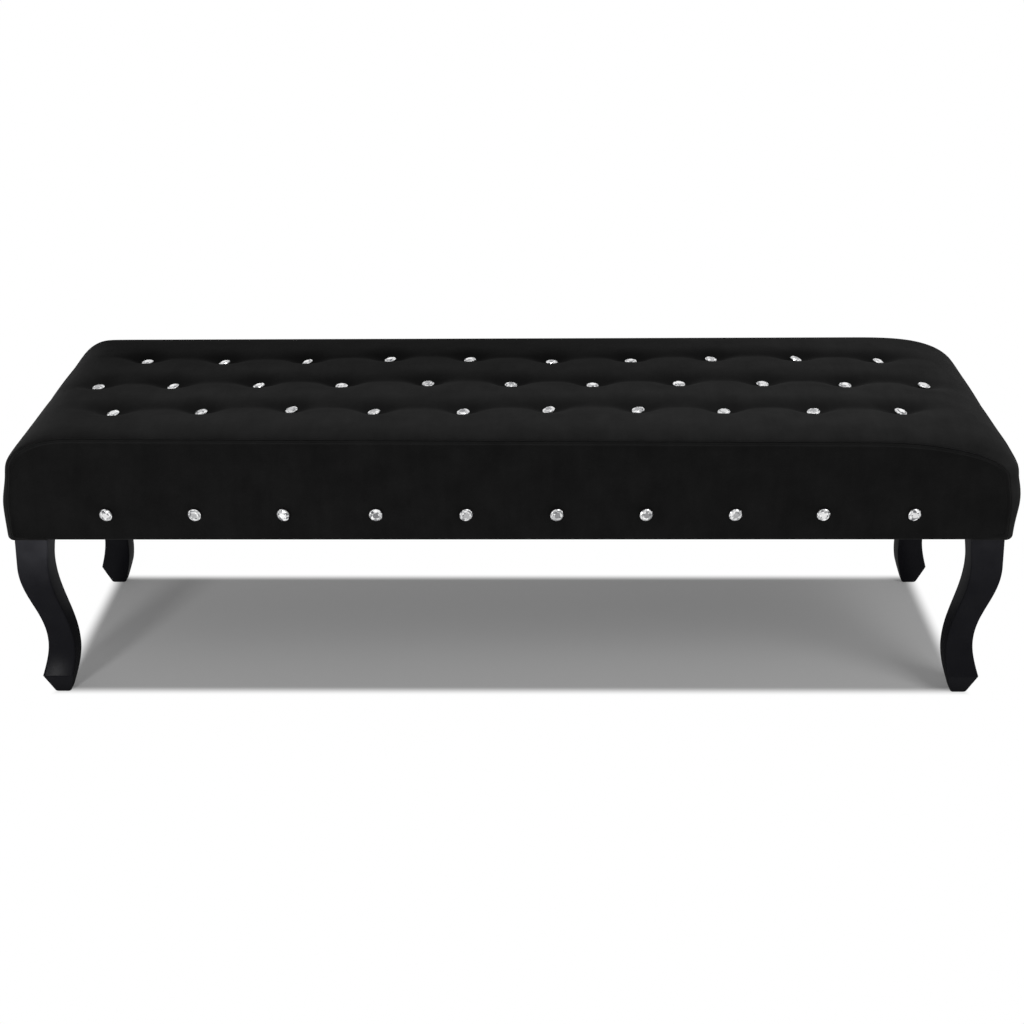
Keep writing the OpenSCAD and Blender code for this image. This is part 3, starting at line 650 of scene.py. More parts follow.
def finish_velvet(piece, node):
    """A sheet of velvet is rounded off before it gets its thickness."""
    smooth = piece.modifiers.new("smooth", "SUBSURF")
    smooth.levels = smooth.render_levels = 1
    thicken(piece, velvet_thick, -1)
    dress(piece, node)


finish_velvet(cover, "top_cover")
print("cover finished")

# %% [markdown]
# ## The front and back panels
# Each panel is a flat sheet that is sewn to the cover all round and turned under the frame at the bottom.
# Its rim rolls over the seam allowance behind it and stands a little proud, which the eye reads as a fine
# light line under a dark groove. The panel is built from rings: the outermost follows the seam, and each
# next one lies further in, until they meet on the panel's middle line.

# %% The panel's rings
# The middle line: its height and how far it reaches to either side
middle_z, middle_half = 284.0, seam_x - 66.0
# How far the panel's edge lies inside the cover's, and the bend at the foot of the panel
tuck, foot_bend = 1.8, 3.0
# The hem reaches almost to the legs. Past it the foot lies lower, and the panel's sides end just over it
hem_end, hem_foot, corner_foot, ring_foot = 553.4, under_z + foot_bend, 221.5, 222.0


def panel_edge(seam):
    """The panel's edge from its lower left corner up, over and down again, and back along the bottom."""
    first, last = hem_columns, len(seam) - hem_columns
    edge = seam[first:last][:, [0, 2]] - tuck * thick[first:last]
    low_xs = top_columns[np.abs(top_columns) < 580][::-1].copy()
    for end in (-hem_end, hem_end):
        low_xs[np.argmin(np.abs(low_xs - end))] = end
    bottom = np.stack([low_xs, np.where(np.abs(low_xs) <= hem_end, hem_foot, corner_foot)], 1)
    normals = np.concatenate([thick[first:last], np.tile([0.0, -1.0], (len(bottom), 1))])
    is_bottom = np.arange(len(edge) + len(bottom)) >= len(edge)
    # Upper and lower points that share a column meet at the same place on the middle line
    centre_x = np.clip(np.concatenate([seam[first:last, 0], low_xs]), -middle_half, middle_half)
    return np.concatenate([edge, bottom]), normals, is_bottom, centre_x


# The panels are painted darker all over, as painted shade on the front and back faces
panel_painted_shade = 0.52
# Distance in from the edge, and how far the surface lies behind the panel's plane there
rim = [(0.0, 2.8), (0.25, 1.2), (0.7, 0.0), (1.4, -0.9), (2.2, -1.3), (3.0, -1.2), (3.8, -0.6), (4.6, 0.1),
       (5.6, 0.35), (7.5, 0.15), (11.0, -0.1)]
inner_rings = 8


def panel_points(seam, dents):
    """Rings of points (x, behind, z) of one panel, where dents says how far a place is drawn in."""
    edge, normals, is_bottom, centre_x = panel_edge(seam)
    centre = np.stack([centre_x, np.full(len(edge), middle_z)], 1)
    rings = []
    for inset, behind in rim:
        # Near a lower corner a ring stops where it meets the ring's other side
        start = edge - inset * normals
        start[:, 1] = np.maximum(start[:, 1], np.where(is_bottom, 0, ring_foot + inset))
        reach = seam_x_at(ring_foot) - tuck - inset
        low_down = is_bottom | (edge[:, 1] < ring_foot + foot_bend)
        start[:, 0] = np.where(low_down, np.clip(start[:, 0], -reach, reach), start[:, 0])
        rings.append(np.stack([start[:, 0], np.where(is_bottom, 0.0, behind), start[:, 1]], 1))
    for k in range(1, inner_rings + 1):
        flat = start + (centre - start) * k / inner_rings
        rings.append(np.stack([flat[:, 0], np.zeros(len(edge)), flat[:, 1]], 1))
    rings = np.stack(rings)
    rings[:, :, 1] += dents(rings[:, :, 0], rings[:, :, 2])
    return rings, is_bottom


# %% The panel's mesh
def join_rings(form, rings, closed=True):
    """Fills the gaps between each ring of points and the next with faces."""
    for one, other in zip(rings, rings[1:]):
        for k in range(len(one) if closed else len(one) - 1):
            after = (k + 1) % len(one)
            form.faces.new((one[k], one[after], other[after], other[k]))


def keep_mesh(name, form):
    """Turns a bmesh into a mesh."""
    mesh = bpy.data.meshes.new(name)
    form.to_mesh(mesh)
    form.free()
    return mesh


def build_panel(name, node, seam, side, dents):
    """A panel of velvet with its hem, where side is -1 at the front and 1 at the back."""
    rings, is_bottom = panel_points(seam, dents)
    count = rings.shape[1]
    mesh = bmesh.new()
    cloth = mesh.loops.layers.uv.new("cloth")

    def add_points(line):
        return [mesh.verts.new((x * 0.001, side * (seam_y - behind) * 0.001, z * 0.001))
                for x, behind, z in line]

    loops = [add_points(ring) for ring in rings]
    join_rings(mesh, loops[::-1])
    # The hem goes on from the bottom edge, round the frame's lower edge and flat under it
    hemmed = [k for k in range(count) if is_bottom[k] and abs(rings[0, k, 0]) <= hem_end]
    round_edge = [(foot_bend - foot_bend * math.cos(a), hem_foot - foot_bend * math.sin(a))
                  for a in np.radians([22.5, 45, 67.5, 90])]
    under = [(behind, under_z) for behind in (12, 22, 32, hem_width)]
    hem = [add_points([(rings[0, k, 0], behind, z) for k in hemmed]) for behind, z in round_edge + under]
    join_rings(mesh, [[loops[0][k] for k in hemmed]] + hem, closed=False)
    bmesh.ops.remove_doubles(mesh, verts=mesh.verts, dist=0.00001)
    bmesh.ops.recalc_face_normals(mesh, faces=mesh.faces)
    if sum(face.normal.y * face.calc_area() for face in mesh.faces) * side < 0:
        bmesh.ops.reverse_faces(mesh, faces=mesh.faces)
    area = sum(face.calc_area() for face in mesh.faces)
    for face in mesh.faces:
        face.smooth = True
        for loop in face.loops:
            place = loop.vert.co
            loop[cloth].uv = (place.x, place.z - abs(place.y - side * seam_y * 0.001))
    data = keep_mesh(name, mesh)
    # Every point of a panel gets the same painted shade
    set_painted_shade(data, [panel_painted_shade] * len(data.vertices))
    panel = link_mesh(name, data, velvet)
    finish_velvet(panel, node)
    print(name, "has", len(data.polygons), "faces and", round(area, 3), "square metres of velvet")


# %% Front and back
# The crystals of the front stand under the front row's, each a little further right
front_xs = x_of(row_places[0]) + np.array([2, 1.2, 0.2, 3.8, 4.4, 5.5, 4.7, 3.7, 1, 1.7])
front_z = 254.0


def inside(x, z, flat_half):
    """1 over the middle of a panel and 0 near its edges."""
    return ramp(z, 330, 290) * ramp(z, 226, 246) * ramp(np.abs(x), 585, flat_half)


def front_dents(x, z):
    """The padding pushes the panel out a little, each crystal holds it in, and a fine line lies over each."""
    near = np.full(x.shape, 1e9)
    lines = np.zeros(x.shape)
    for fx in front_xs:
        near = np.minimum(near, np.hypot(x - fx, z - front_z))
        lines += close_to(z - front_z - 6, 3) * close_to(x - fx + 12, 34)
    return -inside(x, z, 545) * (0.8 * (1 - close_to(near, 13)) + 0.25 * lines)


def back_dents(x, z):
    """The padding pushes the panel out a little."""
    return -0.9 * inside(x, z, 525)


build_panel("velvet_front_panel", "front_panel", front_seam, -1, front_dents)
build_panel("velvet_back_panel", "back_panel", back_seam, 1, back_dents)

# %% [markdown]
# ## Crystals
# Each button carries a cut crystal: a flat table, a ring of slanting facets and a rim, over a foil that
# throws the light back. All crystals are the same stone, turned at random, so a small Geometry Nodes tree
# makes one stone and sets it on every button. The stone is the convex hull of six rings of points, which
# gives exactly the flat facets that a cutter would grind.

# %% The crystal's material
crystal, tree = new_material("cut glass on silver foil")
painted_facet_reflection = add_node(tree, "ShaderNodeAttribute", attribute_name="painted_facet_reflection")
# Each facet gets its own brightness: a painted reflection that stands in for a different piece of the room
reflection_tone = add_node(tree, "ShaderNodeMix", {
    "Factor": painted_facet_reflection.outputs["Fac"], "A": linear("3a3c42"), "B": linear("ffffff")}, data_type="RGBA")
shader = add_node(tree, "ShaderNodeBsdfPrincipled", {
    "Base Color": reflection_tone.outputs["Result"], "Metallic": 0.75, "Roughness": 0.12, "Coat Weight": 1.0,
    "Coat Roughness": 0.03, "Coat IOR": 1.52})
add_node(tree, "ShaderNodeOutputMaterial", {"Surface": shader})

plated, tree = new_material("nickel-plated brass, polished")
grime = add_node(tree, "ShaderNodeTexNoise", {"Scale": 900, "Detail": 2})
rough = add_node(tree, "ShaderNodeMapRange", {"Value": grime.outputs["Fac"], "To Min": 0.16, "To Max": 0.32})
shader = add_node(tree, "ShaderNodeBsdfPrincipled", {
    "Base Color": linear("c9c6c0"), "Metallic": 1.0, "Roughness": rough})
add_node(tree, "ShaderNodeOutputMaterial", {"Surface": shader})
print("crystal and metal ready")

# %% The tree that sets the stones
def new_tree(name, inputs):
    """A Geometry Nodes tree with named inputs. Returns the tree and the node that holds its inputs."""
    tree = bpy.data.node_groups.new(name, "GeometryNodeTree")
    tree.interface.new_socket("Geometry", in_out="INPUT", socket_type="NodeSocketGeometry")
    for label, kind, value in inputs:
        tree.interface.new_socket(label, in_out="INPUT", socket_type=kind).default_value = value
    tree.interface.new_socket("Geometry", in_out="OUTPUT", socket_type="NodeSocketGeometry")
    return tree, add_node(tree, "NodeGroupInput")


def ring_hull(tree, width, depth, rings):
    """The convex hull of a stack of rings. Each has its number of points, its radius and height as shares of
    the piece's, and its turn."""
    joined = add_node(tree, "GeometryNodeJoinGeometry")
    for count, wide, high, turned in rings:
        radius = add_node(tree, "ShaderNodeMath", {0: width, 1: wide / 2}, operation="MULTIPLY")
        height = add_node(tree, "ShaderNodeMath", {0: depth, 1: high}, operation="MULTIPLY")
        ring = add_node(tree, "GeometryNodeMeshCircle", {"Vertices": count, "Radius": radius})
        place = add_node(tree, "ShaderNodeCombineXYZ", {"Z": height})
        stood = add_node(tree, "GeometryNodeTransform", {
            "Geometry": ring, "Translation": place, "Rotation": (0, 0, turned)})
        tree.links.new(stood.outputs[0], joined.inputs[0])
    return add_node(tree, "GeometryNodeConvexHull", {0: joined})


def set_on_points(tree, given, piece, material):
    """Ends a tree: the piece stands on every point, turned as the point says, as plain mesh."""
    turn = add_node(tree, "GeometryNodeInputNamedAttribute", {"Name": "turn"}, data_type="FLOAT_VECTOR")
    stood = add_node(tree, "GeometryNodeInstanceOnPoints", {
        "Points": given.outputs["Geometry"], "Instance": piece, "Rotation": turn})
    real = add_node(tree, "GeometryNodeRealizeInstances", {0: stood})
    shaded = add_node(tree, "GeometryNodeSetShadeSmooth", {"Geometry": real, "Shade Smooth": False})
    # Each face gets a random number: on the crystals, the brightness of its painted reflection
    chance = add_node(tree, "FunctionNodeRandomValue", {
        2: 0.0, 3: 1.0, 8: given.outputs["Seed"]}, data_type="FLOAT")
    marked = add_node(tree, "GeometryNodeStoreNamedAttribute", {
        "Geometry": shaded, "Name": "painted_facet_reflection", "Value": chance.outputs[1]}, data_type="FLOAT", domain="FACE")
    done = add_node(tree, "GeometryNodeSetMaterial", {"Geometry": marked, "Material": material})
    add_node(tree, "NodeGroupOutput", {0: done})


stones, given = new_tree("set stones", [
    ("Width", "NodeSocketFloat", 0.016), ("Height", "NodeSocketFloat", 0.003), ("Seed", "NodeSocketInt", 3)])
stone = ring_hull(stones, given.outputs["Width"], given.outputs["Height"], [
    (16, 0.85, 0.0, 0), (16, 1.0, 0.25, 0), (16, 1.0, 0.38, 0), (16, 0.88, 0.66, math.pi / 16),
    (8, 0.7, 0.86, math.pi / 8), (8, 0.46, 1.0, 0)])
set_on_points(stones, given, stone, crystal)

cups, given = new_tree("set button backs", [
    ("Width", "NodeSocketFloat", 0.01344), ("Height", "NodeSocketFloat", 0.0034),
    ("Shank", "NodeSocketFloat", 0.0024), ("Length", "NodeSocketFloat", 0.0028),
    ("Seed", "NodeSocketInt", 1)])
cup = ring_hull(cups, given.outputs["Width"], given.outputs["Height"], [
    (32, 0.3, 0.0, 0), (32, 0.97, 0.8, 0), (32, 1.0, 0.86, 0), (32, 1.0, 0.97, 0), (32, 0.97, 1.0, 0)])
half = add_node(cups, "ShaderNodeMath", {0: given.outputs["Shank"], 1: 0.5}, operation="MULTIPLY")
down = add_node(cups, "ShaderNodeMath", {0: given.outputs["Length"], 1: -0.5}, operation="MULTIPLY")
under = add_node(cups, "ShaderNodeCombineXYZ", {"Z": down})
shank = add_node(cups, "GeometryNodeMeshCylinder", {
    "Vertices": 16, "Radius": half, "Depth": given.outputs["Length"]})
placed = add_node(cups, "GeometryNodeTransform", {"Geometry": shank.outputs["Mesh"], "Translation": under})
button = add_node(cups, "GeometryNodeJoinGeometry")
for part in (cup, placed):
    cups.links.new(part.outputs[0], button.inputs[0])
set_on_points(cups, given, button, plated)
print("trees ready:", len(stones.nodes), "and", len(cups.nodes), "nodes")

# %% Run a tree over points
def run_tree(name, seed_mesh, tree, values):
    """Runs a tree over a mesh and keeps the result as a plain mesh."""
    seeds = link_mesh(name + "_seeds", seed_mesh)
    modifier = seeds.modifiers.new("grow", "NODES")
    modifier.node_group = tree
    for item in tree.interface.items_tree:
        if item.item_type == "SOCKET" and item.in_out == "INPUT" and item.name in values:
            modifier[item.identifier] = values[item.name]
    grown = bpy.data.meshes.new_from_object(seeds.evaluated_get(bpy.context.evaluated_depsgraph_get()))
    grown.name = name
    bpy.data.objects.remove(seeds)
    print(name, "has", len(grown.polygons), "faces")
    return link_mesh(name, grown)


def grow(name, points, turns, tree, values):
    """Sets a tree's piece on points in millimetres, each turned as its angles say."""
    mesh = bpy.data.meshes.new(name + "_points")
    mesh.from_pydata([tuple(float(v) * 0.001 for v in p) for p in points], [], [])
    turned = mesh.attributes.new("turn", "FLOAT_VECTOR", "POINT")
    turned.data.foreach_set("vector", np.array(turns, float).ravel())
    return run_tree(name, mesh, tree, values)


# %% Where the crystals sit
# The velvet has its final shape now, so its height under a button is looked up on the finished mesh.
velvet_surface = BVHTree.FromObject(cover, bpy.context.evaluated_depsgraph_get())


def velvet_z(x, y):
    """Height of the velvet at a place."""
    hit = velvet_surface.ray_cast(Vector((x, y, 1000)) * 0.001, Vector((0, 0, -1)))[0]
    return hit.z * 1000


def spun(normal):
    """A piece that stands along the normal, turned about it at random."""
    spin = Matrix.Rotation(chance.uniform(0, 6.28), 3, "Z").to_quaternion()
    return tuple((normal.to_track_quat("Z", "Y") @ spin).to_euler())


chance = np.random.default_rng(7)
# A tie is never quite straight: each button leans to the left or the right by some degrees, and forwards
off_side = [[-12, -12, -10, -10, -6, -14, -8, -5, -4, 12], [-5, -14, -12, -2, 0, 3, 1, 3, 4, 2, 10],
            [-6, -14, -18, -10, -5, 0, 1, 6, 18, 18]]
off_front = [[9] * 10, [6] * 11, [3] * 10]
button_at = [(x + dx, y + dy) for (x, y), dx, dy in zip(marks, sum(off_along, []), sum(off_back, []))]
cup_r, cup_high = 6.72, 3.4
# How much higher than under a button the velvet round it is taken to be, at least and at most
least_sunk, most_sunk = 1.4, 3.6
around = np.radians(range(0, 360, 45))
button_bases, button_points, button_turns = [], [], []
for (x, y), to_side, to_front in zip(button_at, sum(off_side, []), sum(off_front, [])):
    middle = velvet_z(x, y)
    sides = [velvet_z(x + cup_r * math.cos(a), y + cup_r * math.sin(a)) for a in around]
    # The button follows half of the velvet's slope, and its own lean comes on top
    lean_x, lean_y = (sides[0] - sides[4]) / (2 * cup_r), (sides[2] - sides[6]) / (2 * cup_r)
    sideways, forwards = np.tan(np.radians([to_side, to_front + chance.uniform(-2, 2)]))
    normal = Vector((sideways - lean_x * 0.5, -forwards - lean_y * 0.5, 1)).normalized()
    sunk = min(most_sunk, max(least_sunk, np.mean(sides) - middle))
    base = Vector((x, y, middle + sunk - 0.3 * cup_high))
    button_bases.append(base)
    button_points.append(base + normal * cup_high)
    button_turns.append(spun(normal))
seated = [point.z for point in button_points]
print("crystals stand from", round(min(seated), 1), "to", round(max(seated), 1), "mm up")

# %% Set the crystals
stone_size = {"Width": 0.016, "Height": 0.003}
top_crystals = grow("seat_crystals", button_points, button_turns, stones, {**stone_size, "Seed": 3})
dress(top_crystals, "top_crystals")
# The cups of the front stand 1.6 mm out from the seam's plane, and the crystals start just past them
front_points = [(x, -seam_y - 1.9, front_z) for x in front_xs]
# How far each faces to the right, and all of them a little down
front_side = [-0.15, -0.1, -0.3, 0.0, 0.22, 0.2, 0.2, 0.14, 0.05, 0.2]
front_turns = [spun(Vector((aside, -1, -0.1))) for aside in front_side]
front_crystals = grow("panel_crystals", front_points, front_turns, stones, {**stone_size, "Seed": 5})
dress(front_crystals, "front_crystals")

# %% [markdown]
# ## Button backs, nails and twine
# Under each crystal of the seat is a metal cup with a shank. A twine holds the shank, goes down through the
# wadding, the foam and the plywood, and ends in a knot under a washer. The crystals of the front have no
# twine: their cups end in nails that are driven into the rail. One tree makes both kinds of cup.

# %% Backs and nails
shank_long = 2.2
backs = grow("button_backs", button_bases, button_turns, cups, {
    "Width": 2 * cup_r * 0.001, "Height": cup_high * 0.001, "Shank": 0.0024, "Length": shank_long * 0.001,
    "Seed": 1})
dress(backs, "top_button_backs")
nail_points = [(x, -seam_y, z) for x, _, z in front_points]
nails = grow("crystal_nails", nail_points, [(math.pi / 2, 0, 0)] * len(nail_points), cups, {
    "Width": 2 * cup_r * 0.001, "Height": 0.0016, "Shank": 0.002, "Length": 0.02, "Seed": 2})
dress(nails, "front_crystal_nails")

# %% The twine's material
# Waxed linen twine: two yarns twisted together. Light and dark bands, painted shade of the grooves between
# the yarns, run round it every four millimetres.
twine, tree = new_material("waxed linen twine, natural")
place = add_node(tree, "ShaderNodeTexCoord")
twist = add_node(tree, "ShaderNodeTexWave", {
    "Vector": place.outputs["Object"], "Scale": 157, "Distortion": 1.5, "Detail": 2},
    bands_direction="DIAGONAL")
colour = add_node(tree, "ShaderNodeMix", {
    "Factor": twist.outputs["Fac"], "A": linear("a8936a"), "B": linear("d3c39c")}, data_type="RGBA")
strands = add_node(tree, "ShaderNodeBump", {
    "Height": twist.outputs["Fac"], "Strength": 0.8, "Distance": 0.0003})
shader = add_node(tree, "ShaderNodeBsdfPrincipled", {
    "Base Color": colour.outputs["Result"], "Roughness": 0.6, "Normal": strands})
add_node(tree, "ShaderNodeOutputMaterial", {"Surface": shader})

# %% The tree that spins the twine
threads, given = new_tree("spin twine", [
    ("Thickness", "NodeSocketFloat", 0.0016), ("Knot", "NodeSocketFloat", 0.0018)])
path = add_node(threads, "GeometryNodeMeshToCurve", {0: given.outputs["Geometry"]})
half = add_node(threads, "ShaderNodeMath", {0: given.outputs["Thickness"], 1: 0.5}, operation="MULTIPLY")
ring = add_node(threads, "GeometryNodeCurvePrimitiveCircle", {"Resolution": 10, "Radius": half})
tube = add_node(threads, "GeometryNodeCurveToMesh", {
    "Curve": path, "Profile Curve": ring, "Fill Caps": True})
knotted = add_node(threads, "GeometryNodeInputNamedAttribute", {"Name": "knot"}, data_type="BOOLEAN")
ball = add_node(threads, "GeometryNodeMeshIcoSphere", {"Radius": given.outputs["Knot"], "Subdivisions": 3})
knots = add_node(threads, "GeometryNodeInstanceOnPoints", {
    "Points": given.outputs["Geometry"], "Selection": knotted, "Instance": ball.outputs["Mesh"]})
real = add_node(threads, "GeometryNodeRealizeInstances", {0: knots})
joined = add_node(threads, "GeometryNodeJoinGeometry")
for part in (tube, real):
    threads.links.new(part.outputs[0], joined.inputs[0])
soft = add_node(threads, "GeometryNodeSetShadeSmooth", {"Geometry": joined})
done = add_node(threads, "GeometryNodeSetMaterial", {"Geometry": soft, "Material": twine})
add_node(threads, "NodeGroupOutput", {0: done})

# %% The twines
# Heights of the foam's top, the plywood's top and the plywood's underside, in millimetres
foam_top, deck_top, rail_top = 336.5, 309.5, 297.5
# The knot lies this far under the plywood, below its washer
knot_drop = 3.3
twine_points, twine_edges, is_knot = [], [], []
for (mark_x, mark_y), base in zip(marks, button_bases):
    first = len(twine_points)
    twine_points += [(mark_x, mark_y, z) for z in (rail_top - knot_drop, rail_top, deck_top - 0.5)]
    twine_points.append((base.x, base.y, base.z - shank_long))
    twine_edges += [(first + k, first + k + 1) for k in range(3)]
    is_knot += [True, False, False, False]
mesh = bpy.data.meshes.new("twine_paths")
mesh.from_pydata([tuple(v * 0.001 for v in p) for p in twine_points], twine_edges, [])
mesh.attributes.new("knot", "BOOLEAN", "POINT").data.foreach_set("value", is_knot)
twines = run_tree("button_twines_tied", mesh, threads, {"Thickness": 0.0016, "Knot": 0.0018})
dress(twines, "button_twines")

# %% [markdown]
# ## Legs
# Each leg is sawn from one piece of wood to the same S-curve from the front and from the side, then its
# four edges are eased with sandpaper before the lacquer. So every level cut through the leg is a square
# with small round corners. The leg is a loft through many such squares.

# %% The legs' curve
leg_h, toe_z, ankle_z, knee_z, heel_z = 220.0, 27.0, 72.0, 180.0, 58.0
end_x, end_y = 600.0, 200.0
# How far in from the seat's end the leg's outer face lies, and then its inner face, at each of these levels
sole_out, toe_out, ankle_out, knee_out, top_out = 28, 17, 26, 5, 6
sole_in, heel_in, knee_in, top_in = 47, 59, 43, 46
# The radius of the eased edges and of the bolt's hole, then how far in this hole stands and how deep it is
edge_r, hole_r, bolt_in, hole_deep = 2.6, 4.0, 32, 28


def wave(a, b, t):
    """From a to b in an S-curve, as t goes from 0 to 1."""
    return a + (b - a) * (1 - math.cos(math.pi * t)) / 2


def quarter(a, b, t):
    """From a to b, level at the start and steepest at the end, as t goes from 0 to 1."""
    return a + (b - a) * (1 - math.cos(math.pi / 2 * t))


def leg_sides(z):
    """Inset of the leg's outer and inner face at a height."""
    if z < toe_z:
        outer = sole_out + (toe_out - sole_out) * z / toe_z
    elif z < ankle_z:
        outer = quarter(ankle_out, toe_out, (ankle_z - z) / (ankle_z - toe_z))
    elif z < knee_z:
        outer = wave(ankle_out, knee_out, (z - ankle_z) / (knee_z - ankle_z))
    else:
        outer = knee_out + (top_out - knee_out) * (z - knee_z) / (leg_h - knee_z)
    if z < heel_z:
        inner = quarter(heel_in, sole_in, 1 - z / heel_z)
    elif z < knee_z:
        inner = wave(heel_in, knee_in, (z - heel_z) / (knee_z - heel_z))
    else:
        inner = wave(knee_in, top_in, (z - knee_z) / (leg_h - knee_z))
    return outer, inner


heights = np.concatenate([[0, 0.4, 1.2, 3, 8, 14, 20, 24, 26, 27, 28, 30, 33, 37], np.linspace(42, 214, 36),
                          [217, 219.2, 220]])
print(len(heights), "levels through a leg")

# %% Black lacquer
# Rubberwood under a sprayed black satin lacquer: the film is smooth, and only a trace of the long pores
# shows through it. A grey painted highlight lightens the tops of the legs, most at the left.
lacquer, tree = new_material("rubberwood, black satin lacquer")
place = add_node(tree, "ShaderNodeTexCoord")
along_grain = add_node(tree, "ShaderNodeMapping", {"Vector": place.outputs["Object"], "Scale": (1, 1, 0.08)})
pores = add_node(tree, "ShaderNodeTexNoise", {"Vector": along_grain, "Scale": 420, "Detail": 3})
haze = add_node(tree, "ShaderNodeTexNoise", {"Vector": place.outputs["Object"], "Scale": 45, "Detail": 3})
rough = add_node(tree, "ShaderNodeMapRange", {"Value": haze.outputs["Fac"], "To Min": 0.5, "To Max": 0.7})
grain = add_node(tree, "ShaderNodeBump", {
    "Height": pores.outputs["Fac"], "Strength": 0.25, "Distance": 0.0003})
part_of = add_node(tree, "ShaderNodeSeparateXYZ", {"Vector": place.outputs["Object"]})
# The painted highlight: lighter towards the top of each leg, most at the left, in cloudy patches
upper = add_node(tree, "ShaderNodeMapRange", {
    "Value": part_of.outputs["Z"], "From Min": 0.145, "From Max": 0.22}, interpolation_type="SMOOTHSTEP")
highlight_to_left = add_node(tree, "ShaderNodeMapRange", {
    "Value": part_of.outputs["X"], "From Min": -0.5, "From Max": 0.5, "To Min": 1.0, "To Max": 0.35})
cloudy = add_node(tree, "ShaderNodeMapRange", {
    "Value": haze.outputs["Fac"], "From Min": 0.3, "From Max": 0.7, "To Min": 0.6, "To Max": 1.0})
painted_highlight = add_node(tree, "ShaderNodeMath", {0: upper, 1: highlight_to_left}, operation="MULTIPLY")
painted_highlight = add_node(tree, "ShaderNodeMath", {0: painted_highlight, 1: cloudy}, operation="MULTIPLY")
film = add_node(tree, "ShaderNodeMix", {
    "Factor": haze.outputs["Fac"], "A": linear("0e0e12"), "B": linear("17171a")}, data_type="RGBA")
# The painted highlight mixes grey into the film
film = add_node(tree, "ShaderNodeMix", {
    "Factor": painted_highlight, "A": film.outputs["Result"], "B": linear("343438")}, data_type="RGBA")
shader = add_node(tree, "ShaderNodeBsdfPrincipled", {
    "Base Color": film.outputs["Result"], "Roughness": rough, "Specular IOR Level": 0.0,
    "Coat Weight": 0.08, "Coat Roughness": 0.27, "Normal": grain, "Coat Normal": grain})
add_node(tree, "ShaderNodeOutputMaterial", {"Surface": shader})

# %% Build the legs
def rounded_square(outer, inner, radius, steps=4):
    """Points round a square with rounded corners, as insets from the seat's end and from its side."""
    points = []
    for cx, cy, start in ((inner - radius, inner - radius, 0), (outer + radius, inner - radius, 90),
                          (outer + radius, outer + radius, 180), (inner - radius, outer + radius, 270)):
        for k in range(steps + 1):
            a = math.radians(start + 90 * k / steps)
            points.append((cx + radius * math.cos(a), cy + radius * math.sin(a)))
    return points


def build_leg(name, side_x, side_y):
    """One leg. The sides are -1 or 1: left or right, front or rear."""
    mesh = bmesh.new()

    def add_ring(insets, z):
        return [mesh.verts.new((side_x * (end_x - in_x) * 0.001, side_y * (end_y - in_y) * 0.001, z * 0.001))
                for in_x, in_y in insets]

    rings = []
    for z in heights:
        outer, inner = leg_sides(z)
        # The sole's edge is eased too, over the lowest 1.5 mm
        pulled = 1.2 * (1 - min(1.0, z / 1.5) ** 0.5)
        rings.append(add_ring(rounded_square(outer + pulled, inner - pulled, edge_r), z))
    mesh.faces.new(rings[0])
    # The top has the hole of the leg's bolt. It is a circle with as many points as the leg's own rings
    spokes = [Vector((in_x - bolt_in, in_y - bolt_in)).normalized() * hole_r
              for in_x, in_y in rounded_square(bolt_in - hole_r, bolt_in + hole_r, hole_r - 0.01)]
    circle = [(bolt_in + spoke.x, bolt_in + spoke.y) for spoke in spokes]
    rings += [add_ring(circle, leg_h), add_ring(circle, leg_h - hole_deep)]
    join_rings(mesh, rings)
    mesh.faces.new(rings[-1])
    bmesh.ops.recalc_face_normals(mesh, faces=mesh.faces)
    for face in mesh.faces:
        face.smooth = len(face.verts) == 4 and abs(face.normal.z) < 0.95
    data = keep_mesh(name, mesh)
    print(name, "has", len(data.polygons), "faces")
    return link_mesh(name, data, lacquer)


for node, side_x, side_y in (("front_left_leg", -1, -1), ("front_right_leg", 1, -1),
                             ("rear_left_leg", -1, 1), ("rear_right_leg", 1, 1)):
    dress(build_leg("lacquered_" + node, side_x, side_y), node)

# %% [markdown]
# ## Wadding and foam
# Under the velvet lies a layer of white polyester wadding, as deep as the pillows need, and under that a
# slab of foam on the plywood. Nobody sees them on the finished bench, but they give it its shape, so they
# are made from the same curves: the wadding's upper side is the velvet's own, a little lower, and its lower
# side is the foam's. Each is a closed form between two grids.

# %% A closed form between two grids
def closed_grid(name, upper, lower, material):
    """A closed mesh between two grids of points in millimetres, joined round their edge."""
    n, m = upper.shape[:2]
    faces = grid_faces(n, m) + grid_faces(n, m, n * m)
    here = np.arange(n * m).reshape(n, m)
    edge = [int(v) for v in (*here[:, 0], *here[-1, 1:], *here[-2::-1, -1], *here[0, -2:0:-1])]
    faces += [(b, a, a + n * m, b + n * m) for a, b in zip(edge, edge[1:] + edge[:1])]
    mesh = bpy.data.meshes.new(name)
    points = np.concatenate([upper.reshape(-1, 3), lower.reshape(-1, 3)]) * 0.001
    mesh.from_pydata(points.tolist(), [], faces)
    form = bmesh.new()
    form.from_mesh(mesh)
    bmesh.ops.recalc_face_normals(form, faces=form.faces)
    form.to_mesh(mesh)
    form.free()
    mesh.shade_smooth()
    print(name, "has", len(mesh.polygons), "faces")
    return link_mesh(name, mesh, material)


# %% Polyester wadding and polyurethane foam
# Wadding is a loose web of white fibres, so its colour is uneven and nothing on it shines.
wadding, tree = new_material("polyester fibre wadding, white")
place = add_node(tree, "ShaderNodeTexCoord")
clumps = add_node(tree, "ShaderNodeTexNoise", {"Vector": place.outputs["Object"], "Scale": 60, "Detail": 4})
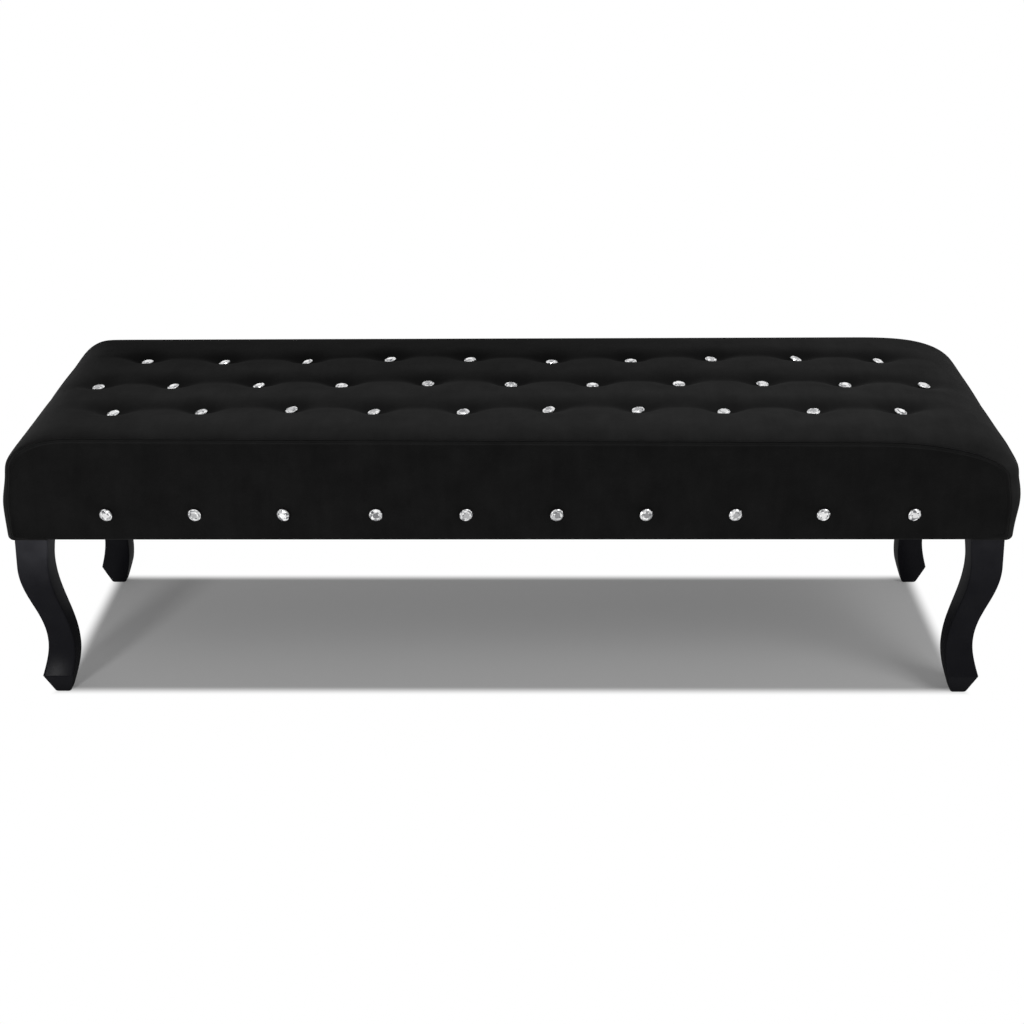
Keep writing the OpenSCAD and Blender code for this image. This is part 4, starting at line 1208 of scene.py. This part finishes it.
# Fibres lie every way. They are drawn 1.5 mm apart, far coarser than they are
fibres = add_node(tree, "ShaderNodeTexNoise", {
    "Vector": place.outputs["Object"], "Scale": 650, "Detail": 4, "Distortion": 2.5})
colour = add_node(tree, "ShaderNodeMix", {
    "Factor": clumps.outputs["Fac"], "A": linear("d9d8d2"), "B": linear("f4f3ef")}, data_type="RGBA")
fluff = add_node(tree, "ShaderNodeBump", {
    "Height": fibres.outputs["Fac"], "Strength": 0.8, "Distance": 0.001})
shader = add_node(tree, "ShaderNodeBsdfPrincipled", {
    "Base Color": colour.outputs["Result"], "Roughness": 1.0, "Sheen Weight": 0.3, "Sheen Roughness": 0.6,
    "Normal": fluff})
add_node(tree, "ShaderNodeOutputMaterial", {"Surface": shader})

# Cut foam shows its open cells: small pits about a millimetre wide in a cream skin, painted dark as their
# shade.
foam, tree = new_material("polyurethane foam, cut, cream")
place = add_node(tree, "ShaderNodeTexCoord")
cells = add_node(tree, "ShaderNodeTexVoronoi", {"Vector": place.outputs["Object"], "Scale": 900})
yellowing = add_node(tree, "ShaderNodeTexNoise", {
    "Vector": place.outputs["Object"], "Scale": 9, "Detail": 2})
skin = add_node(tree, "ShaderNodeMix", {
    "Factor": yellowing.outputs["Fac"], "A": linear("e2d39b"), "B": linear("efe6bd")}, data_type="RGBA")
pit_shade_mask = add_node(tree, "ShaderNodeMapRange", {
    "Value": cells.outputs["Distance"], "From Min": 0.1, "From Max": 0.5})
colour = add_node(tree, "ShaderNodeMix", {
    "Factor": pit_shade_mask, "A": linear("b29c5f"), "B": skin.outputs["Result"]}, data_type="RGBA")
pits = add_node(tree, "ShaderNodeBump", {
    "Height": cells.outputs["Distance"], "Strength": 0.6, "Distance": 0.0006})
shader = add_node(tree, "ShaderNodeBsdfPrincipled", {
    "Base Color": colour.outputs["Result"], "Roughness": 0.95, "Normal": pits})
add_node(tree, "ShaderNodeOutputMaterial", {"Surface": shader})
print("wadding and foam ready")

# %% The foam slab
# Half the length and depth of the wooden frame, the plane of the paddings, and the frame's underside
frame_x, frame_y, pad_y, frame_z = 584.5, 192.5, 198.5, 221.2
foam_thick = foam_top - deck_top
foam_runs = (0.6 * left_run, 0.6 * right_run)


def foam_edge(x):
    """Height of the foam's top at x, where its ends are rounded."""
    run = np.where(x < 0, *foam_runs)
    c = np.clip((np.abs(x) - frame_x + run) / run, 0, 1)
    return deck_top + foam_thick * np.sqrt(1 - c * c)


def foam_z(x, y):
    """The foam's top. The pull of each button leaves a shallow pit in it."""
    pit = 2.5 * close_to(to_button(*back_to_marks(x, y)), 18)
    return foam_edge(x) - pit * (foam_edge(x) > foam_top - 1)


round_end = np.sin(np.linspace(0, math.pi / 2, 9)[1:])
foam_xs = np.concatenate([(-frame_x + foam_runs[0] * (1 - round_end))[::-1],
                          np.linspace(-frame_x + foam_runs[0], frame_x - foam_runs[1], 103),
                          frame_x - foam_runs[1] * (1 - round_end)])
foam_ys = np.linspace(-frame_y, frame_y, 37)
grid_x, grid_y = np.meshgrid(foam_xs, foam_ys, indexing="ij")
upper = np.stack([grid_x, grid_y, np.maximum(foam_z(grid_x, grid_y), deck_top + 0.6)], -1)
lower = np.stack([grid_x, grid_y, np.full_like(grid_x, deck_top + 0.05)], -1)
slab = closed_grid("foam_slab", upper, lower, foam)
dress(slab, "seat_foam")

# %% The seat's wadding
# How far it lies under the velvet's face and inside the seams, and half its depth from front to back, at its
# upper side and at its lower one
under_face, in_from_seam, wadding_y, wadding_low_y = 1.9, 4.5, 196.0, 198.2
blown = np.empty(n * m * 3)
cover.data.vertices.foreach_get("co", blown)
blown = blown.reshape(n, m, 3) * 1000
# The velvet's inner side: each point moves in along the cloth's own normal
outward = np.cross(np.gradient(blown, axis=0), np.gradient(blown, axis=1))
outward /= np.maximum(np.linalg.norm(outward, axis=-1, keepdims=True), 1e-9)
inner = blown - under_face * outward
first, last = lying, n - lying
off_seams = np.abs(blown[n // 2, :, 1]) < wadding_y - 4
wadding_upper = inner[first:last][:, off_seams]
# Its two long edges stay clear of the seams
out_x, out_z = thick[first:last].T
edges = [seam[first:last] - in_from_seam * np.stack([out_x, 0 * out_x, out_z], -1)
         for seam in (front_seam, back_seam)]
for edge, side in zip(edges, (-1, 1)):
    edge[:, 1] = side * wadding_y
wadding_upper = np.concatenate([edges[0][:, None], wadding_upper, edges[1][:, None]], 1)
count = len(wadding_upper)
low_x = np.empty(count)
low_z = np.empty((count, wadding_upper.shape[1]))
low_y = np.clip(wadding_upper[..., 1] * wadding_low_y / wadding_y, -wadding_low_y, wadding_low_y)
for k in range(count):
    x, z = float(wadding_upper[k, wadding_upper.shape[1] // 2, 0]), float(edges[0][k, 2])
    c = float(round_corner(front_seam[first + k, 0], (left_run, left_drop), (right_run, right_drop))[1])
    if c <= 0:
        low_x[k] = x
        low_z[k] = foam_z(np.full(low_y.shape[1], x), low_y[k]) + layer_gap
    elif c < 1:
        run = foam_runs[0] if x < 0 else foam_runs[1]
        low_x[k] = math.copysign(frame_x + layer_gap - run * (1 - c), x)
        low_z[k] = deck_top + foam_thick * math.sqrt(1 - c * c) + layer_gap
    else:
        low_x[k] = math.copysign(frame_x + layer_gap, x)
        low_z[k] = min(z, deck_top)
wadding_lower = np.stack(np.broadcast_arrays(low_x[:, None], low_y, low_z), -1)
layer = closed_grid("wadding_layer", wadding_upper, wadding_lower, wadding)
dress(layer, "seat_wadding")

# %% The front and back paddings
pad_half = frame_x - layer_gap
grid_x, share = np.meshgrid(np.linspace(-pad_half, pad_half, 121), np.linspace(0, 1, 13), indexing="ij")
grid_z = frame_z + share * (np.minimum(foam_edge(grid_x), foam_top) - layer_gap - frame_z)
to_edge = np.minimum(np.minimum(grid_z - frame_z, foam_edge(grid_x) - grid_z), frame_x - np.abs(grid_x))
# The outer side lies 0.2 mm inside the paddings' plane, and 1.4 mm more at its edges
pad_out = pad_y - 0.2 - 1.4 * (1 - ramp(to_edge, 0, 12))
for name, side in (("front_padding", -1), ("back_padding", 1)):
    outer_side = np.stack([grid_x, side * pad_out, grid_z], -1)
    inner_side = np.stack([grid_x, np.full_like(grid_x, side * (frame_y + 0.05)), grid_z], -1)
    pad = closed_grid("soft_" + name, outer_side, inner_side, wadding)
    dress(pad, name)

# %% [markdown]
# ## The dust cover
# A thin non-woven cloth closes the frame from below. It is stapled round its edge, with its corners cut out
# for the legs, and it hangs a few millimetres in the middle because it is only pulled hand-tight.

# %% Non-woven cloth
# Spunbonded polypropylene: black fibres pressed together at small points 1.6 mm apart, which shine a little.
dust_cloth, tree = new_material("spunbonded polypropylene, black")
place = add_node(tree, "ShaderNodeTexCoord")
dots = add_node(tree, "ShaderNodeTexVoronoi", {
    "Vector": place.outputs["Object"], "Scale": 620, "Randomness": 0.15})
cloudy = add_node(tree, "ShaderNodeTexNoise", {"Vector": place.outputs["Object"], "Scale": 120, "Detail": 4})
colour = add_node(tree, "ShaderNodeMix", {
    "Factor": cloudy.outputs["Fac"], "A": linear("121212"), "B": linear("262628")}, data_type="RGBA")
pressed_dots_and_painted_shade = add_node(tree, "ShaderNodeMapRange", {
    "Value": dots.outputs["Distance"], "From Min": 0.1, "From Max": 0.4, "To Min": 0.45, "To Max": 0.85})
points = add_node(tree, "ShaderNodeBump", {
    "Height": dots.outputs["Distance"], "Strength": 0.25, "Distance": 0.0003})
shader = add_node(tree, "ShaderNodeBsdfPrincipled", {
    "Base Color": colour.outputs["Result"], "Roughness": pressed_dots_and_painted_shade, "Normal": points})
add_node(tree, "ShaderNodeOutputMaterial", {"Surface": shader})

# %% The dust cover's cloth
# Half its length and depth, the same between the cut corners and between the rows of staples, and its height
dust_x, dust_y, notch_x, notch_y, staple_x, staple_y, dust_z = 580.0, 188.0, 551.0, 151.0, 565, 173, 218.9
dust_sag, scallop_deep, staple_gap, dust_thick = 5.0, 0.5, 60, 0.6
line_x = np.array([-dust_x, -notch_x - 14, *np.linspace(-notch_x, notch_x, 91), notch_x + 14, dust_x])
line_y = np.array([-dust_y, -notch_y - 18, *np.linspace(-notch_y, notch_y, 31), notch_y + 18, dust_y])
grid_x, grid_y = np.meshgrid(line_x, line_y, indexing="ij")
in_x = np.clip((staple_x - np.abs(grid_x)) / staple_x, 0, 1)
in_y = np.clip((staple_y - np.abs(grid_y)) / staple_y, 0, 1)
sag = dust_sag * (1 - (1 - in_x) ** 4) * (1 - (1 - in_y) ** 2)
# Between two staples the cloth hangs a little lower at its edge
scallop = scallop_deep * np.sin(math.pi * grid_x / staple_gap) ** 2 * close_to(staple_y - np.abs(grid_y), 25)
scallop = scallop * (np.abs(grid_y) < staple_y - 1)
points = np.stack([grid_x, grid_y, dust_z - sag - scallop], -1).reshape(-1, 3)
form = bmesh.new()
corners = [form.verts.new(point * 0.001) for point in points]
for face in grid_faces(len(line_x), len(line_y)):
    middle = points[list(face)].mean(axis=0)
    if abs(middle[0]) < notch_x or abs(middle[1]) < notch_y:
        form.faces.new([corners[k] for k in face[::-1]])
bmesh.ops.delete(form, geom=[v for v in form.verts if not v.link_faces], context="VERTS")
dust_area = sum(face.calc_area() for face in form.faces)
mesh = keep_mesh("dust_cloth", form)
mesh.shade_smooth()
dust_cover = link_mesh("dust_cloth", mesh, dust_cloth)
thicken(dust_cover, dust_thick, 0)
dress(dust_cover, "dust_cover")
print("dust cover:", round(dust_area, 3), "square metres")

# %% [markdown]
# ## The wooden frame
# Rails, posts and cross rails are planed softwood. Year rings give it bands of light and dark a few
# millimetres wide, drawn out along the board, and each board is cut with its grain along its length. So one
# recipe serves each direction in turn, and the beech dowels too. The deck is plywood: one calm sheet of
# veneer on its faces, and on its edges the plies, which lie crosswise in turn.

# %% Planed wood
def planed_wood(name, axis, pale, dark, band):
    """Planed wood with its grain along X, Y or Z. Band is how wide a light or dark band is, in metres."""
    material, tree = new_material(name)
    place = add_node(tree, "ShaderNodeTexCoord")
    stretch = tuple(0.05 if letter == axis else 1.0 for letter in "XYZ")
    board = add_node(tree, "ShaderNodeMapping", {"Vector": place.outputs["Object"], "Scale": stretch})
    # In a diagonal wave a light or dark band is 0.31 / scale wide, measured along X, Y or Z
    rings = add_node(tree, "ShaderNodeTexWave", {
        "Vector": board, "Scale": 0.31 / band, "Distortion": 4.0, "Detail": 3, "Detail Scale": 0.8},
        bands_direction="DIAGONAL")
    pores = add_node(tree, "ShaderNodeTexNoise", {"Vector": board, "Scale": 900, "Detail": 3})
    late = add_node(tree, "ShaderNodeMapRange", {
        "Value": rings.outputs["Fac"], "From Min": 0.2, "From Max": 1.0, "To Max": 0.8})
    grain = add_node(tree, "ShaderNodeMix", {
        "Factor": late, "A": linear(pale), "B": linear(dark)}, data_type="RGBA")
    speck = add_node(tree, "ShaderNodeMapRange", {
        "Value": pores.outputs["Fac"], "From Min": 0.3, "From Max": 0.7, "To Min": 0.86, "To Max": 1.06})
    colour = add_node(tree, "ShaderNodeVectorMath", {
        0: grain.outputs["Result"], "Scale": speck}, operation="SCALE")
    rough = add_node(tree, "ShaderNodeMapRange", {
        "Value": rings.outputs["Fac"], "To Min": 0.72, "To Max": 0.56})
    ridges = add_node(tree, "ShaderNodeBump", {
        "Height": pores.outputs["Fac"], "Strength": 0.3, "Distance": 0.0003})
    shader = add_node(tree, "ShaderNodeBsdfPrincipled", {
        "Base Color": colour, "Roughness": rough, "Specular IOR Level": 0.35, "Normal": ridges})
    add_node(tree, "ShaderNodeOutputMaterial", {"Surface": shader})
    return material


long_pine = planed_wood("pine, planed, grain along the bench", "X", "dcb98a", "b98a57", 0.005)
cross_pine = planed_wood("pine, planed, grain across the bench", "Y", "dfbd90", "bb8c58", 0.005)
upright_pine = planed_wood("pine, planed, grain upright", "Z", "d6b080", "ae7f4d", 0.004)
beech = planed_wood("beech, turned and fluted", "X", "dcb892", "c79a70", 0.002)

# %% Plywood
plywood, tree = new_material("poplar plywood, raw")
place = add_node(tree, "ShaderNodeTexCoord")
board = add_node(tree, "ShaderNodeMapping", {"Vector": place.outputs["Object"], "Scale": (0.04, 1, 1)})
figure = add_node(tree, "ShaderNodeTexNoise", {"Vector": board, "Scale": 90, "Detail": 5, "Distortion": 0.6})
veneer = add_node(tree, "ShaderNodeMix", {
    "Factor": figure.outputs["Fac"], "A": linear("c9a878"), "B": linear("e6cfa4")}, data_type="RGBA")
# Seven plies make 12 mm, so the edge changes from pale to dark every 1.7 mm
ply = 0.0017
height = add_node(tree, "ShaderNodeSeparateXYZ", {"Vector": place.outputs["Object"]})
from_bottom = add_node(tree, "ShaderNodeMath", {
    0: height.outputs["Z"], 1: rail_top * 0.001}, operation="SUBTRACT")
plies = add_node(tree, "ShaderNodeMath", {0: from_bottom, 1: 2 * ply}, operation="FLOORED_MODULO")
dark_ply = add_node(tree, "ShaderNodeMath", {0: plies, 1: ply}, operation="GREATER_THAN")
edge = add_node(tree, "ShaderNodeMix", {
    "Factor": dark_ply, "A": linear("d8bd90"), "B": linear("8f6a42")}, data_type="RGBA")
facing = add_node(tree, "ShaderNodeNewGeometry")
upward = add_node(tree, "ShaderNodeSeparateXYZ", {"Vector": facing.outputs["Normal"]})
flat = add_node(tree, "ShaderNodeMath", {0: upward.outputs["Z"]}, operation="ABSOLUTE")
is_face = add_node(tree, "ShaderNodeMath", {0: flat, 1: 0.5}, operation="GREATER_THAN")
colour = add_node(tree, "ShaderNodeMix", {
    "Factor": is_face, "A": edge.outputs["Result"], "B": veneer.outputs["Result"]}, data_type="RGBA")
raised = add_node(tree, "ShaderNodeBump", {
    "Height": figure.outputs["Fac"], "Strength": 0.25, "Distance": 0.0004})
shader = add_node(tree, "ShaderNodeBsdfPrincipled", {
    "Base Color": colour.outputs["Result"], "Roughness": 0.68, "Specular IOR Level": 0.3, "Normal": raised})
add_node(tree, "ShaderNodeOutputMaterial", {"Surface": shader})

# %% Zinc-plated steel
# Bright zinc has a bluish-grey, slightly cloudy shine, which small scratches and handling dull.
zinc, tree = new_material("steel, bright zinc plating")
place = add_node(tree, "ShaderNodeTexCoord")
clouds = add_node(tree, "ShaderNodeTexNoise", {"Vector": place.outputs["Object"], "Scale": 350, "Detail": 3})
tint = add_node(tree, "ShaderNodeMix", {
    "Factor": clouds.outputs["Fac"], "A": linear("a9adb2"), "B": linear("cdcfd0")}, data_type="RGBA")
rough = add_node(tree, "ShaderNodeMapRange", {
    "Value": clouds.outputs["Fac"], "From Min": 0.3, "From Max": 0.7, "To Min": 0.25, "To Max": 0.45})
scuffs = add_node(tree, "ShaderNodeBump", {
    "Height": clouds.outputs["Fac"], "Strength": 0.15, "Distance": 0.0002})
shader = add_node(tree, "ShaderNodeBsdfPrincipled", {
    "Base Color": tint.outputs["Result"], "Metallic": 1.0, "Roughness": rough, "Normal": scuffs})
add_node(tree, "ShaderNodeOutputMaterial", {"Surface": shader})

# %% Give the frame's parts their materials
finishes = {
    long_pine: ["front_rail", "back_rail"],
    cross_pine: ["left_end_rail", "right_end_rail", "left_cross_rail", "right_cross_rail"],
    upright_pine: ["front_left_post", "front_right_post", "rear_left_post", "rear_right_post"],
    beech: ["frame_dowels"],
    plywood: ["deck_board"],
    zinc: ["cross_rail_screws", "deck_screws", "hem_staples", "dust_cover_staples", "twine_washers",
           "leg_bolts", "leg_insert_nuts"],
}
for material, nodes in finishes.items():
    for node in nodes:
        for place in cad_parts[node].material_slots:
            place.material = material
print(sum(len(nodes) for nodes in finishes.values()), "parts of the frame keep the drawing's shape")

# %% Look
# The Standard view shows a colour as it is written.
bpy.context.scene.view_settings.view_transform = "Standard"
